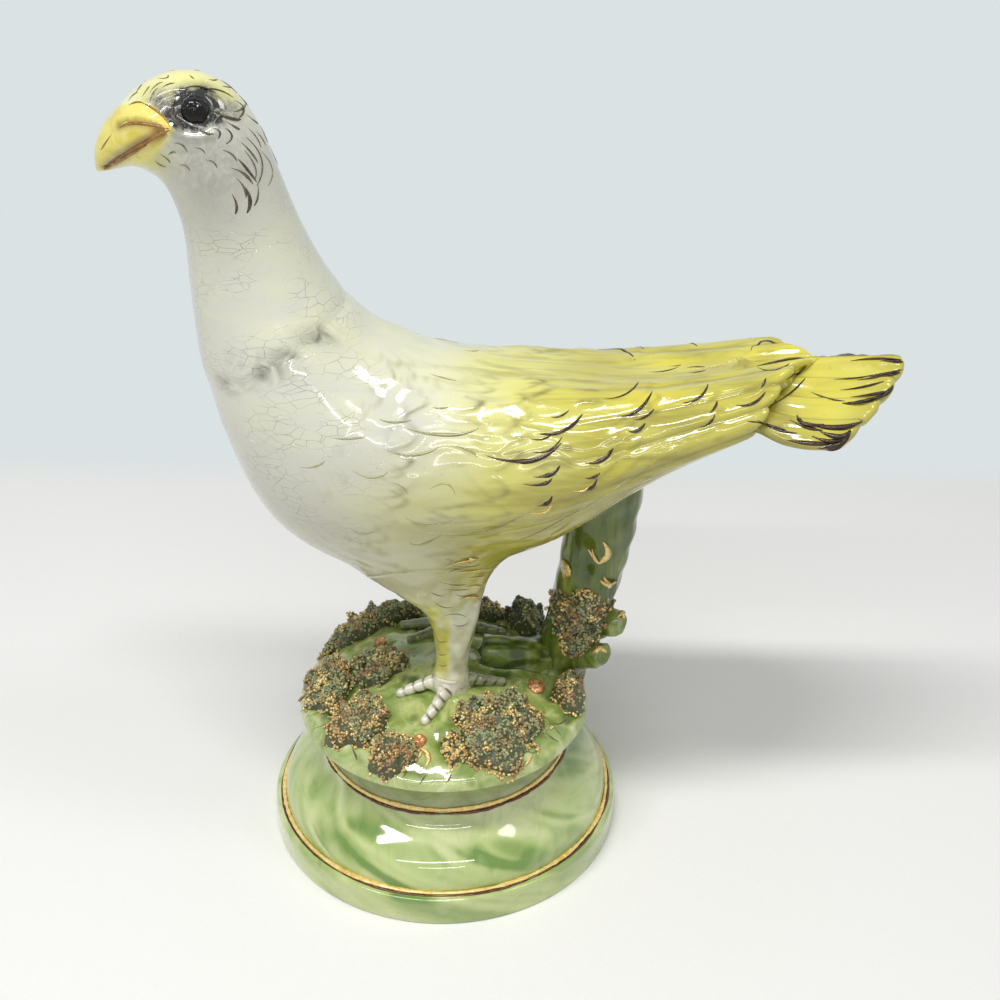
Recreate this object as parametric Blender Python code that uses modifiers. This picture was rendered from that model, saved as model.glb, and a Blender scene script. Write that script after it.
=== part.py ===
# Majolica bird figurine: cast sections luted together on a turned plinth.
# Metres, +Z up. The bird faces -X, its left side is -Y, and the origin is the middle of the underside.

import math
from collections import namedtuple

import bmesh
import bpy
from mathutils import Vector

# Joints: every piece is stuck to its neighbour with a thin bed of slip
LUTE_GAP = 0.0003

# Points closer than this are one point
WELD = 0.00001

# Plinth foot: the flat it stands on, the rounded rim, the step and the ogee up to the waist
FOOT_RADIUS = 0.0600
RIM_RADIUS = FOOT_RADIUS + 0.0016
RIM_HEIGHT = 0.0105
STEP_RADIUS = FOOT_RADIUS - 0.0012
GROOVE_DEPTH = 0.0010
WAIST_RADIUS = 0.0426
WAIST_HEIGHT = RIM_HEIGHT + 0.0214
OGEE_MIDDLE_RUN = 0.50
OGEE_MIDDLE_DROP = 0.44
OGEE_COVE_PULL = 0.24
OGEE_SHOULDER_PULL = 0.30
OGEE_LEAN = 0.26
VENT_RADIUS = 0.0030
VENT_DEPTH = 0.0080
VENT_OFFSET = 0.0250

# Mound: a coved collar on the plinth's waist, a lip that hangs over it and a low dome
MOUND_RADIUS = WAIST_RADIUS + 0.0079
MOUND_LIP_HEIGHT = WAIST_HEIGHT + 0.0176
MOUND_LIP_ROUND = 0.0022
MOUND_TOP_HEIGHT = MOUND_LIP_HEIGHT + 0.0135
COVE_UNDERCUT = 0.6
COVE_STRAIGHT = 0.7

# Bird: height from the belly to the crown, and leg length from the mound's top to the belly
BIRD_HEIGHT = 0.1582
LEG_LENGTH = 0.0398
BIRD_OFFSET = 0.0045
BELLY_HEIGHT = MOUND_TOP_HEIGHT + LEG_LENGTH

# Ribs of the bird's form, from the wing tips forward to the face. Back and belly points lie in the
# bird's middle plane: distance aft of the origin, then height above the lowest point of the belly,
# all in hundredths of the bird's height.
Rib = namedtuple("Rib", "back_aft back_rise belly_aft belly_rise half_width")
BIRD_FORM = [
    Rib(76.49, 47.85, 73.96, 39.95, 7.59),
    Rib(67.00, 46.14, 66.37, 35.08, 12.01),
    Rib(58.15, 44.63, 58.15, 30.97, 14.85),
    Rib(47.41, 43.24, 46.78, 25.41, 17.07),
    Rib(36.03, 42.73, 35.40, 17.70, 18.96),
    Rib(22.76, 43.74, 22.76, 8.34, 21.18),
    Rib(8.85, 45.01, 7.59, 2.34, 22.76),
    Rib(-3.79, 48.17, -11.38, 0.00, 23.70),
    Rib(-10.11, 51.01, -28.32, 6.76, 23.39),
    Rib(-13.91, 53.54, -38.87, 19.72, 21.18),
    Rib(-18.02, 57.96, -45.51, 40.46, 17.38),
    Rib(-22.12, 64.29, -47.09, 52.59, 14.22),
    Rib(-25.92, 72.50, -47.41, 64.60, 11.69),
    Rib(-28.76, 80.72, -47.72, 72.50, 10.11),
    Rib(-31.61, 88.94, -49.94, 79.77, 9.23),
    Rib(-35.40, 95.58, -53.10, 82.62, 8.98),
    Rib(-42.04, 100.00, -55.94, 84.51, 8.60),
    Rib(-49.62, 99.49, -57.52, 87.04, 7.08),
    Rib(-54.87, 96.33, -58.47, 90.52, 3.92),
]
RUMP_STATION = 2
NECK_STATION = 10
NECK_START = 0.4

# Ribs of the hooked beak, from inside the head to the tip
BEAK_FORM = [
    Rib(-44.88, 96.33, -46.46, 86.60, 8.47),
    Rib(-50.57, 97.72, -50.88, 84.96, 9.04),
    Rib(-55.31, 95.32, -54.68, 83.69, 7.71),
    Rib(-59.42, 91.85, -58.15, 82.81, 5.31),
    Rib(-61.95, 87.48, -60.81, 82.17, 2.97),
    Rib(-62.58, 83.57, -62.14, 82.05, 1.07),
]
BIRD_RIBS = [Rib(*(BIRD_HEIGHT * part / 100 for part in rib)) for rib in BIRD_FORM]
BEAK_RIBS = [Rib(*(BIRD_HEIGHT * part / 100 for part in rib)) for rib in BEAK_FORM]

# Eyes
EYE_RADIUS = 0.024 * BIRD_HEIGHT
EYE_STATION = 15.55
EYE_ANGLE = math.radians(52)
EYE_SINK = 0.0012

# Wings: angles run round the bird from the middle of its back
WING_SEAT = 0.0004
WING_THICKNESS = 0.0024
WING_EDGE = 0.0008
WING_ROOT_STATION = 8.3
WING_TIP_STATION = 0.15
WING_SWEEP = 1.85
WING_SWEEP_POWER = 0.72
WING_ROOT_TOP = math.radians(78)
WING_ROOT_BOTTOM = math.radians(92)
WING_TIP_TOP = math.radians(3.5)
WING_TIP_BOTTOM = math.radians(110)
WING_SHOULDER = 0.40
WING_SWELL = 0.35
WING_TOP_ROLL = 0.25
FEATHER_START = 0.25
FEATHER_LANES = (0.05, 0.35, 0.65, 0.95)
WING_FEATHERS = 5
FEATHER_STEP = 0.0009
FEATHER_SCALLOP = 0.30

# Tail
TAIL_LENGTH = 0.3287 * BIRD_HEIGHT
TAIL_ROOT_INSET = 0.0055
TAIL_END_HALF = 0.1896 * BIRD_HEIGHT
TAIL_RIDGE_RISE = 0.0014
TAIL_RIDGE_LIFT = 0.0020
TAIL_SLOPE = 0.48
TAIL_SWEEP = 0.1485 * BIRD_HEIGHT
TAIL_SWEEP_POWER = 1.4
TAIL_ROOT_THICKNESS = 0.1296 * BIRD_HEIGHT
TAIL_END_THICKNESS = 0.0034
TAIL_FEATHERS = 4
TAIL_SCALLOP = 0.0022
TAIL_TUCK = 0.0008
TAIL_LANES = (0.08, 0.50, 0.92)

# Legs: distance apart, place along the bird, and sections from the ankle to inside the body
LEG_SPACING = 0.0340
LEG_AFT = 0.0028
ANKLE_RISE = 0.0040
ANKLE_HALF_LENGTH = 0.0050
ANKLE_HALF_WIDTH = 0.0046
LegSection = namedtuple("LegSection", "share aft half_length half_width")
LEG_SECTIONS = [
    LegSection(0.00, 0.0000, ANKLE_HALF_LENGTH, ANKLE_HALF_WIDTH),
    LegSection(0.28, 0.0006, 0.0057, 0.0052),
    LegSection(0.58, 0.0010, 0.0079, 0.0066),
    LegSection(0.78, -0.0008, 0.0108, 0.0086),
    LegSection(0.88, -0.0028, 0.0135, 0.0100),
    LegSection(1.12, -0.0062, 0.0190, 0.0130),
    LegSection(1.40, -0.0080, 0.0200, 0.0140),
]

# Feet: toes lie on the mound, each with a compass direction and a length
TOE_RADIUS = 0.0023
TOE_TIP_SHARE = 0.65
TOE_SEAT = 0.6
PAD_RADIUS = 0.0062
PAD_EDGE_SHARE = 0.3
Toe = namedtuple("Toe", "direction length")
LEFT_TOES = [Toe(math.radians(188), 0.0190), Toe(math.radians(254), 0.0200), Toe(math.radians(8), 0.0190)]
RIGHT_TOES = [Toe(math.radians(157), 0.0215), Toe(math.radians(217), 0.0190), Toe(math.radians(3), 0.0190)]

# Stump behind the legs, which props the rump
STUMP_FOOT = MOUND_RADIUS * Vector((0.782, 0.238))
STUMP_KNEE = Vector((0.0508, 0.0100))
STUMP_HEAD = Vector((0.0540, 0.0080))
STUMP_HEAD_STATION = 4
STUMP_FOOT_RADIUS = 0.0102
STUMP_SINK = 0.0030
STUMP_KNEE_RADIUS = 0.0114
STUMP_HEAD_RADIUS = 0.0136
STUMP_FLUTES = 5
STUMP_FLUTE_DEPTH = 0.07
STUMP_TWIST = 2.0

# Branch stubs and the fallen branch
STUB_RADIUS = 0.0050
STUB_LIFT = 0.15
STUB_TAPER = (1.10, 1.00, 0.95, 0.80)
UPPER_STUB_RISE = 0.0180
UPPER_STUB_REACH = 0.0178
UPPER_STUB_DIRECTION = math.radians(-28)
LOWER_STUB_RISE = 0.0060
LOWER_STUB_REACH = 0.0200
LOWER_STUB_DIRECTION = math.radians(-52)
BRANCH_RADIUS = 0.0060
BRANCH_END = Vector((0.0130, 0.0030))
BRANCH_BOW = 0.0030
BRANCH_SEAT = 0.55
BRANCH_END_SHARE = 0.92
BRANCH_ROOT_SHARE = 1.08

# Moss clumps: compass angle and share of the mound's radius, then half length, half width and height
Clump = namedtuple("Clump", "name angle share half_length half_width height")
MOSS_CLUMPS = [
    Clump("moss_back_crest", math.radians(131), 0.850, 0.0235, 0.0064, 0.0085),
    Clump("moss_left", math.radians(186), 0.802, 0.0150, 0.0074, 0.0060),
    Clump("moss_middle", math.radians(184), 0.451, 0.0088, 0.0082, 0.0058),
    Clump("moss_front_left", math.radians(223), 0.752, 0.0098, 0.0098, 0.0064),
    Clump("moss_front", math.radians(248), 0.851, 0.0082, 0.0064, 0.0058),
    Clump("moss_front_right", math.radians(303), 0.693, 0.0158, 0.0128, 0.0070),
    Clump("moss_right", math.radians(350), 0.881, 0.0074, 0.0054, 0.0095),
    Clump("moss_behind_stump", math.radians(47), 0.842, 0.0084, 0.0066, 0.0140),
    Clump("moss_behind_leg", math.radians(73), 0.842, 0.0088, 0.0064, 0.0080),
]
MOSS_SINK = 0.0030
MOSS_LUMP = 0.10
MOSS_LOBES = 3
MOSS_TWIST = 40
MOSS_CLIMBS = [math.radians(angle) for angle in (0, 22, 44, 64, 80)]
STUMP_MOSS_RISE = 0.0250
STUMP_MOSS_HALF_HEIGHT = 0.0135
STUMP_MOSS_HALF_WIDTH = 0.0098
STUMP_MOSS_PROUD = 0.0040

# Clay pellets pressed on the mound: compass angle, share of the mound's radius, and own radius
Pellet = namedtuple("Pellet", "name angle share radius")
PELLETS = [
    Pellet("gold_pellet", math.radians(259), 0.717, 0.0026),
    Pellet("orange_pellet", math.radians(346), 0.642, 0.0034),
    Pellet("red_pellet", math.radians(146), 0.564, 0.0022),
]

# Smoothness of the facets
TURN_STEPS = 40
DOME_STEPS = 8
VENT_SIDES = 16
SHARP_ANGLE = math.radians(40)
SKIN_SIDES = 28
BODY_RINGS = 20
NECK_RINGS = 18
BEAK_SIDES = 14
BEAK_RINGS = 8
BALL_SIDES = 12
WING_ROWS = 16
TAIL_ROWS = 10
LEG_SIDES = 14
LEG_RINGS = 12
TOE_RINGS = 6
STUMP_SIDES = 16
STUMP_RINGS = 12
BRANCH_RINGS = 7
CLUMP_SIDES = 12


def glaze(name, red, green, blue, roughness):
    finish = bpy.data.materials.new(name)
    finish.use_nodes = True
    shader = finish.node_tree.nodes["Principled BSDF"]
    shader.inputs["Base Color"].default_value = (red, green, blue, 1.0)
    shader.inputs["Roughness"].default_value = roughness
    shader.inputs["Metallic"].default_value = 0.0
    return finish


def add_object(name, mesh, finish):
    obj = bpy.data.objects.new(name, mesh)
    figurine.objects.link(obj)
    mesh.materials.clear()
    mesh.materials.append(finish)
    mesh.shade_smooth()
    mesh.set_sharp_from_angle(angle=SHARP_ANGLE)
    return obj


def add_cutter(name, mesh):
    obj = bpy.data.objects.new(name, mesh)
    cutters.objects.link(obj)
    obj.hide_render = True
    obj.display_type = "WIRE"
    return obj


def boolean(obj, other, operation):
    modifier = obj.modifiers.new(other.name, "BOOLEAN")
    modifier.object = other
    modifier.operation = operation
    modifier.solver = "EXACT"


def cut(obj, *others):
    for other in others:
        boolean(obj, other, "DIFFERENCE")


def join(obj, *others):
    for other in others:
        boolean(obj, other, "UNION")


def finish_mesh(name, build):
    bmesh.ops.recalc_face_normals(build, faces=build.faces)
    mesh = bpy.data.meshes.new(name)
    build.to_mesh(mesh)
    build.free()
    return mesh


def loft(name, rings):
    build = bmesh.new()
    rows = [[build.verts.new(point) for point in ring] for ring in rings]
    for row, following in zip(rows, rows[1:]):
        for index, corner in enumerate(row):
            after = (index + 1) % len(row)
            build.faces.new((corner, row[after], following[after], following[index]))
    build.faces.new(rows[0])
    build.faces.new(rows[-1])
    return finish_mesh(name, build)


def slab(name, outer, inner):
    # Closed solid between two sheets of points with the same rows and columns
    build = bmesh.new()
    sheets = [[[build.verts.new(point) for point in row] for row in sheet] for sheet in (outer, inner)]
    for sheet in sheets:
        for row, following in zip(sheet, sheet[1:]):
            for index in range(len(row) - 1):
                build.faces.new((row[index], row[index + 1], following[index + 1], following[index]))
    edges = [border(sheet) for sheet in sheets]
    for index in range(len(edges[0])):
        after = (index + 1) % len(edges[0])
        build.faces.new((edges[0][index], edges[0][after], edges[1][after], edges[1][index]))
    return finish_mesh(name, build)


def border(sheet):
    last_column = [row[-1] for row in sheet[1:]]
    first_column = [row[0] for row in sheet[1:-1]]
    return sheet[0] + last_column + sheet[-1][-2::-1] + first_column[::-1]


def turn(obj):
    screw = obj.modifiers.new("Screw", "SCREW")
    screw.axis = "Z"
    screw.steps = TURN_STEPS
    screw.render_steps = TURN_STEPS
    screw.use_merge_vertices = True
    screw.merge_threshold = WELD


def profile_mesh(name, profile):
    mesh = bpy.data.meshes.new(name)
    points = [(radius, 0.0, height) for radius, height in profile]
    edges = [(index, index + 1) for index in range(len(points) - 1)]
    mesh.from_pydata(points, edges, [])
    return mesh


def sweep(start, start_pull, end_pull, end, steps):
    # Points of a cubic curve, without its start
    points = []
    for step in range(1, steps + 1):
        t = step / steps
        weights = ((1 - t) ** 3, 3 * t * (1 - t) ** 2, 3 * t * t * (1 - t), t ** 3)
        pulls = (start, start_pull, end_pull, end)
        points.append(tuple(sum(w * p[axis] for w, p in zip(weights, pulls)) for axis in (0, 1)))
    return points


def ease(value):
    held = min(max(value, 0.0), 1.0)
    return held * held * (3 - 2 * held)


def tube_mesh(name, points, radii):
    curve = bpy.data.curves.new(name, "CURVE")
    curve.dimensions = "3D"
    curve.bevel_depth = 1.0
    curve.bevel_resolution = 2
    curve.use_fill_caps = True
    spline = curve.splines.new("POLY")
    spline.points.add(len(points) - 1)
    for spot, point, radius in zip(spline.points, points, radii):
        spot.co = (*point, 1.0)
        spot.radius = radius
    guide = bpy.data.objects.new(name, curve)
    cutters.objects.link(guide)
    graph = bpy.context.evaluated_depsgraph_get()
    mesh = bpy.data.meshes.new_from_object(guide.evaluated_get(graph))
    bpy.data.objects.remove(guide)
    build = bmesh.new()
    build.from_mesh(mesh)
    bmesh.ops.remove_doubles(build, verts=build.verts, dist=WELD)
    bpy.data.meshes.remove(mesh)
    return finish_mesh(name, build)


def ball_mesh(name, centre, radius):
    build = bmesh.new()
    rows = BALL_SIDES // 2
    bmesh.ops.create_uvsphere(build, u_segments=BALL_SIDES, v_segments=rows, radius=radius)
    bmesh.ops.translate(build, verts=build.verts, vec=centre)
    return finish_mesh(name, build)


def plinth_profile():
    shoulder = (STEP_RADIUS - GROOVE_DEPTH, RIM_HEIGHT + GROOVE_DEPTH)
    waist = (WAIST_RADIUS, WAIST_HEIGHT)
    rise = waist[1] - shoulder[1]
    run = shoulder[0] - waist[0]
    middle = (waist[0] + OGEE_MIDDLE_RUN * run, waist[1] - OGEE_MIDDLE_DROP * rise)
    lean = (OGEE_LEAN * run, OGEE_LEAN * rise / 2)
    middle_in = (middle[0] - lean[0], middle[1] + lean[1])
    middle_out = (middle[0] + lean[0], middle[1] - lean[1])
    cove_pull = (waist[0], waist[1] - OGEE_COVE_PULL * rise)
    shoulder_pull = (shoulder[0], shoulder[1] + OGEE_SHOULDER_PULL * rise)
    rim_crown = (RIM_RADIUS, 0.5 * RIM_HEIGHT)
    rim_floor = (FOOT_RADIUS, 0.0)
    profile = [(0.0, WAIST_HEIGHT), waist]
    profile += sweep(waist, cove_pull, middle_in, middle, 5)
    profile += sweep(middle, middle_out, shoulder_pull, shoulder, 6)
    profile += [(shoulder[0], RIM_HEIGHT), (STEP_RADIUS, RIM_HEIGHT)]
    profile += sweep(profile[-1], (RIM_RADIUS, RIM_HEIGHT), (RIM_RADIUS, RIM_HEIGHT), rim_crown, 4)
    profile += sweep(rim_crown, (RIM_RADIUS, 0.0), (RIM_RADIUS, 0.0), rim_floor, 3)
    return profile + [(0.0, 0.0)]


def mound_height(distance):
    return MOUND_TOP_HEIGHT - (MOUND_TOP_HEIGHT - MOUND_LIP_HEIGHT) * (distance / MOUND_RADIUS) ** 2


def mound_profile(grow):
    crown = MOUND_RADIUS - MOUND_LIP_ROUND
    dome = [crown * step / DOME_STEPS for step in range(DOME_STEPS + 1)]
    profile = [(distance, mound_height(distance) + grow) for distance in dome]
    lip = (MOUND_RADIUS + grow, MOUND_LIP_HEIGHT - MOUND_LIP_ROUND)
    foot = (WAIST_RADIUS + grow, WAIST_HEIGHT + LUTE_GAP - grow)
    profile += sweep(profile[-1], (MOUND_RADIUS + grow, MOUND_LIP_HEIGHT + grow), lip, lip, 4)
    cove_top = (MOUND_RADIUS - COVE_UNDERCUT * (MOUND_RADIUS - WAIST_RADIUS), lip[1])
    cove_side = (foot[0], foot[1] + COVE_STRAIGHT * (lip[1] - foot[1]))
    profile += sweep(lip, cove_top, cove_side, foot, 6)
    return profile + [(0.0, foot[1])]


def catmull(t, before, start, end, after):
    slope_in = (end - before) / 2
    slope_out = (after - start) / 2
    bend = 2 * start - 2 * end + slope_in + slope_out
    return start + t * slope_in + t * t * (end - start - slope_in - bend) + t ** 3 * bend


def rib_at(ribs, station):
    index = min(max(int(station), 0), len(ribs) - 2)
    picks = [ribs[min(max(index + step, 0), len(ribs) - 1)] for step in (-1, 0, 1, 2)]
    return Rib(*(catmull(station - index, *sizes) for sizes in zip(*picks)))


def form_point(ribs, station, angle):
    # Angle 0 is the back, a quarter turn is the bird's left side, and half a turn is the belly
    rib = rib_at(ribs, station)
    up = math.cos(angle)
    aft = (rib.back_aft + rib.belly_aft + up * (rib.back_aft - rib.belly_aft)) / 2
    rise = (rib.back_rise + rib.belly_rise + up * (rib.back_rise - rib.belly_rise)) / 2
    return Vector((aft, BIRD_OFFSET - rib.half_width * math.sin(angle), BELLY_HEIGHT + rise))


def skin_point(ribs, station, angle, proud):
    nudge = 0.01
    along = form_point(ribs, station + nudge, angle) - form_point(ribs, station - nudge, angle)
    around = form_point(ribs, station, angle + nudge) - form_point(ribs, station, angle - nudge)
    return form_point(ribs, station, angle) + proud * along.cross(around).normalized()


def skin_ring(ribs, station, sides, proud=0.0):
    turns = [2 * math.pi * side / sides for side in range(sides)]
    return [skin_point(ribs, station, angle, proud) for angle in turns]


def skin_rings(ribs, first, last, count, sides, proud=0.0):
    stations = [first + (last - first) * step / count for step in range(count + 1)]
    return [skin_ring(ribs, station, sides, proud) for station in stations]


def body_rings(proud):
    return skin_rings(BIRD_RIBS, RUMP_STATION, NECK_STATION, BODY_RINGS, SKIN_SIDES, proud)


def neck_rings():
    seam = rib_at(BIRD_RIBS, NECK_STATION)
    across = Vector((seam.back_aft - seam.belly_aft, 0.0, seam.back_rise - seam.belly_rise))
    upward = across.cross(Vector((0.0, 1.0, 0.0))).normalized()
    if upward.z < 0:
        upward.negate()
    foot = [point + LUTE_GAP * upward for point in skin_ring(BIRD_RIBS, NECK_STATION, SKIN_SIDES)]
    face = len(BIRD_RIBS) - 1
    return [foot] + skin_rings(BIRD_RIBS, NECK_STATION + NECK_START, face, NECK_RINGS, SKIN_SIDES)


def eye_mesh(name, side, grow):
    centre = skin_point(BIRD_RIBS, EYE_STATION, side * EYE_ANGLE, -EYE_SINK)
    return ball_mesh(name, centre, EYE_RADIUS + grow)


def wing_columns():
    # Across the wing, each feather has a low edge, a middle and a proud edge over the next one
    columns = [0.0]
    for feather in range(WING_FEATHERS):
        columns += [(feather + lane) / WING_FEATHERS for lane in FEATHER_LANES]
    return columns + [1.0]


def feather_share(across, count):
    return min(across * count - int(min(across * count, count - 1)), 1.0)


def wing_place(along, across):
    share = feather_share(across, WING_FEATHERS)
    sweep = WING_SWEEP * across ** WING_SWEEP_POWER
    tip = WING_TIP_STATION + sweep + FEATHER_SCALLOP * (2 * share - 1) ** 2
    station = WING_ROOT_STATION + (tip - WING_ROOT_STATION) * along
    spread = math.sqrt(ease(along / WING_SHOULDER))
    top = WING_ROOT_TOP + (WING_TIP_TOP - WING_ROOT_TOP) * spread
    bottom = WING_ROOT_BOTTOM + (WING_TIP_BOTTOM - WING_ROOT_BOTTOM) * spread
    return station, top + (bottom - top) * across


def wing_proud(along, across):
    swell = ease(along / WING_SWELL) * ease(across / WING_TOP_ROLL)
    lap = ease((along - FEATHER_START) / WING_SWELL) * feather_share(across, WING_FEATHERS)
    return WING_SEAT + WING_EDGE + (WING_THICKNESS - WING_EDGE) * swell + FEATHER_STEP * lap


def wing_mesh(name, side):
    lengths = [step / WING_ROWS for step in range(WING_ROWS + 1)]
    outer = []
    inner = []
    for along in lengths:
        places = [(wing_place(along, across), across) for across in wing_columns()]
        outer.append([skin_point(BIRD_RIBS, station, side * angle, wing_proud(along, across))
                      for (station, angle), across in places])
        inner.append([skin_point(BIRD_RIBS, station, side * angle, WING_SEAT)
                      for (station, angle), across in places])
    return slab(name, outer, inner)


def form_top(aft, sideways):
    # Height of the bird's form over a point behind the rump, or None beside it
    station = RUMP_STATION
    while station > 0 and rib_at(BIRD_RIBS, station).back_aft < aft:
        station -= 0.05
    rib = rib_at(BIRD_RIBS, station)
    if abs(sideways) >= rib.half_width or aft > BIRD_RIBS[0].back_aft:
        return None
    up = math.sqrt(1 - (sideways / rib.half_width) ** 2)
    return (rib.back_rise + rib.belly_rise + up * (rib.back_rise - rib.belly_rise)) / 2


def tail_point(along, across):
    rump = rib_at(BIRD_RIBS, RUMP_STATION)
    spread = 1 - (1 - along) ** 3
    root_half = rump.half_width - TAIL_ROOT_INSET
    lap = feather_share(abs(across), TAIL_FEATHERS)
    length = TAIL_LENGTH - TAIL_SWEEP * abs(across) ** TAIL_SWEEP_POWER - TAIL_SCALLOP * (2 * lap - 1) ** 2
    sideways = across * (root_half + (TAIL_END_HALF - root_half) * spread)
    aft = rump.back_aft + LUTE_GAP + length * along
    rise = rump.back_rise + TAIL_RIDGE_RISE + TAIL_RIDGE_LIFT * along - TAIL_SLOPE * abs(sideways)
    rise += FEATHER_STEP * along * lap
    cover = form_top(aft, sideways)
    if cover is not None:
        rise = min(rise, cover - TAIL_TUCK)
    return aft, sideways, rise


def tail_columns():
    half = [0.0]
    for feather in range(TAIL_FEATHERS):
        half += [(feather + lane) / TAIL_FEATHERS for lane in TAIL_LANES]
    half += [1.0]
    return [-across for across in half[:0:-1]] + half


def tail_thickness(along, across):
    # Deep where it meets the rump, thin at the sides and the feather ends
    wedge = (1 - along) ** 2 * (1 - across ** 2)
    return TAIL_END_THICKNESS + (TAIL_ROOT_THICKNESS - TAIL_END_THICKNESS) * wedge


def tail_mesh(name):
    place = Vector((0.0, BIRD_OFFSET, BELLY_HEIGHT))
    top = []
    under = []
    for step in range(TAIL_ROWS + 1):
        along = step / TAIL_ROWS
        row = [Vector(tail_point(along, across)) for across in tail_columns()]
        depths = [tail_thickness(along, across) for across in tail_columns()]
        top.append([place + point for point in row])
        under.append([place + point - Vector((0.0, 0.0, depth)) for point, depth in zip(row, depths)])
    return slab(name, top, under)


def leg_place(side):
    return LEG_AFT, BIRD_OFFSET - side * LEG_SPACING / 2


def ankle_height(side):
    return mound_height(math.hypot(*leg_place(side))) + ANKLE_RISE


def oval(centre, half_length, half_width, sides):
    turns = [2 * math.pi * side / sides for side in range(sides)]
    return [centre + Vector((half_length * math.cos(a), half_width * math.sin(a), 0.0)) for a in turns]


def leg_mesh(name, side):
    aft, sideways = leg_place(side)
    foot = ankle_height(side) + LUTE_GAP
    rings = []
    for step in range(LEG_RINGS + 1):
        place = step / LEG_RINGS * (len(LEG_SECTIONS) - 1)
        index = min(int(place), len(LEG_SECTIONS) - 2)
        picks = [LEG_SECTIONS[min(max(index + jump, 0), len(LEG_SECTIONS) - 1)] for jump in (-1, 0, 1, 2)]
        section = LegSection(*(catmull(place - index, *sizes) for sizes in zip(*picks)))
        centre = Vector((aft + section.aft, sideways, foot + section.share * LEG_LENGTH))
        rings.append(oval(centre, section.half_length, section.half_width, LEG_SIDES))
    return loft(name, rings)


def toe_mesh(name, side, toe):
    aft, sideways = leg_place(side)
    points = []
    radii = []
    for step in range(TOE_RINGS + 1):
        share = step / TOE_RINGS
        reach = share * toe.length
        x = aft + reach * math.cos(toe.direction)
        y = sideways + reach * math.sin(toe.direction)
        radius = TOE_RADIUS * (1 - (1 - TOE_TIP_SHARE) * share)
        points.append((x, y, mound_height(math.hypot(x, y)) + TOE_SEAT * radius))
        radii.append(radius)
    return tube_mesh(name, points, radii)


def pad_mesh(name, side):
    aft, sideways = leg_place(side)
    top = ankle_height(side)
    ground = top - ANKLE_RISE
    sole = Vector((aft, sideways, ground - TOE_RADIUS))
    edge = Vector((aft, sideways, ground + PAD_EDGE_SHARE * ANKLE_RISE))
    ankle = Vector((aft, sideways, top))
    rings = [oval(centre, PAD_RADIUS, PAD_RADIUS, LEG_SIDES) for centre in (sole, edge)]
    return loft(name, rings + [oval(ankle, ANKLE_HALF_LENGTH, ANKLE_HALF_WIDTH, LEG_SIDES)])


def stump_axis(share):
    # Bent axis through the knee at half height, with the radius there
    weights = ((1 - share) * (1 - 2 * share), 4 * share * (1 - share), share * (2 * share - 1))
    spots = (STUMP_FOOT, STUMP_KNEE, STUMP_HEAD)
    radii = (STUMP_FOOT_RADIUS, STUMP_KNEE_RADIUS, STUMP_HEAD_RADIUS)
    place = sum((weight * spot for weight, spot in zip(weights, spots)), Vector((0.0, 0.0)))
    return place, sum(weight * radius for weight, radius in zip(weights, radii))


def stump_span():
    foot = mound_height(STUMP_FOOT.length) - STUMP_SINK
    rib = rib_at(BIRD_RIBS, STUMP_HEAD_STATION)
    return foot, BELLY_HEIGHT + (rib.back_rise + rib.belly_rise) / 2


def stump_mesh(name, grow):
    foot, head = stump_span()
    rings = []
    for step in range(STUMP_RINGS + 1):
        share = step / STUMP_RINGS
        place, radius = stump_axis(share)
        ring = []
        for side in range(STUMP_SIDES):
            angle = 2 * math.pi * side / STUMP_SIDES
            flute = 1 + STUMP_FLUTE_DEPTH * math.cos(STUMP_FLUTES * angle + STUMP_TWIST * share)
            reach = radius * flute + grow
            ring.append(Vector((place.x + reach * math.cos(angle), place.y + reach * math.sin(angle),
                                foot + share * (head - foot))))
        rings.append(ring)
    return loft(name, rings)


def stump_at(rise):
    foot, head = stump_span()
    ground = mound_height(STUMP_FOOT.length)
    place, radius = stump_axis((ground + rise - foot) / (head - foot))
    return Vector((place.x, place.y, ground + rise)), radius


def stub_mesh(name, rise, reach, direction, grow):
    start, _ = stump_at(rise)
    out = Vector((math.cos(direction), math.sin(direction), STUB_LIFT))
    points = [start + out * reach * step / (len(STUB_TAPER) - 1) for step in range(len(STUB_TAPER))]
    radii = [(STUB_RADIUS + grow) * width for width in STUB_TAPER]
    return tube_mesh(name, points, radii)


def branch_mesh(name, grow):
    points = []
    radii = []
    for step in range(BRANCH_RINGS + 1):
        share = step / BRANCH_RINGS
        spot = BRANCH_END.lerp(STUMP_FOOT, share)
        spot.y -= BRANCH_BOW * math.sin(math.pi * share)
        points.append((*spot, mound_height(spot.length) + BRANCH_SEAT * BRANCH_RADIUS))
        taper = BRANCH_END_SHARE + (BRANCH_ROOT_SHARE - BRANCH_END_SHARE) * share
        radii.append((BRANCH_RADIUS + grow) * taper)
    return tube_mesh(name, points, radii)


def clump_ring(frame, half_length, half_width, height, climb):
    centre, along, across, up = frame
    ring = []
    for side in range(CLUMP_SIDES):
        angle = 2 * math.pi * side / CLUMP_SIDES
        lump = 1 + MOSS_LUMP * math.sin(MOSS_LOBES * angle + MOSS_TWIST * climb) * math.cos(climb)
        spread = lump * math.cos(climb)
        ring.append(centre + spread * (half_length * math.cos(angle) * along
                                       + half_width * math.sin(angle) * across)
                    + height * math.sin(climb) * up)
    return ring


def clump_mesh(name, frame, half_length, half_width, height):
    rings = [clump_ring(frame, half_length, half_width, height, climb) for climb in MOSS_CLIMBS]
    sunk = [point - MOSS_SINK * frame[3] for point in rings[0]]
    return loft(name, [sunk] + rings)


def mound_frame(angle, share):
    distance = share * MOUND_RADIUS
    out = Vector((math.cos(angle), math.sin(angle), 0.0))
    round_the_axis = Vector((-math.sin(angle), math.cos(angle), 0.0))
    centre = distance * out + Vector((0.0, 0.0, mound_height(distance)))
    return centre, round_the_axis, out, Vector((0.0, 0.0, 1.0))


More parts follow.
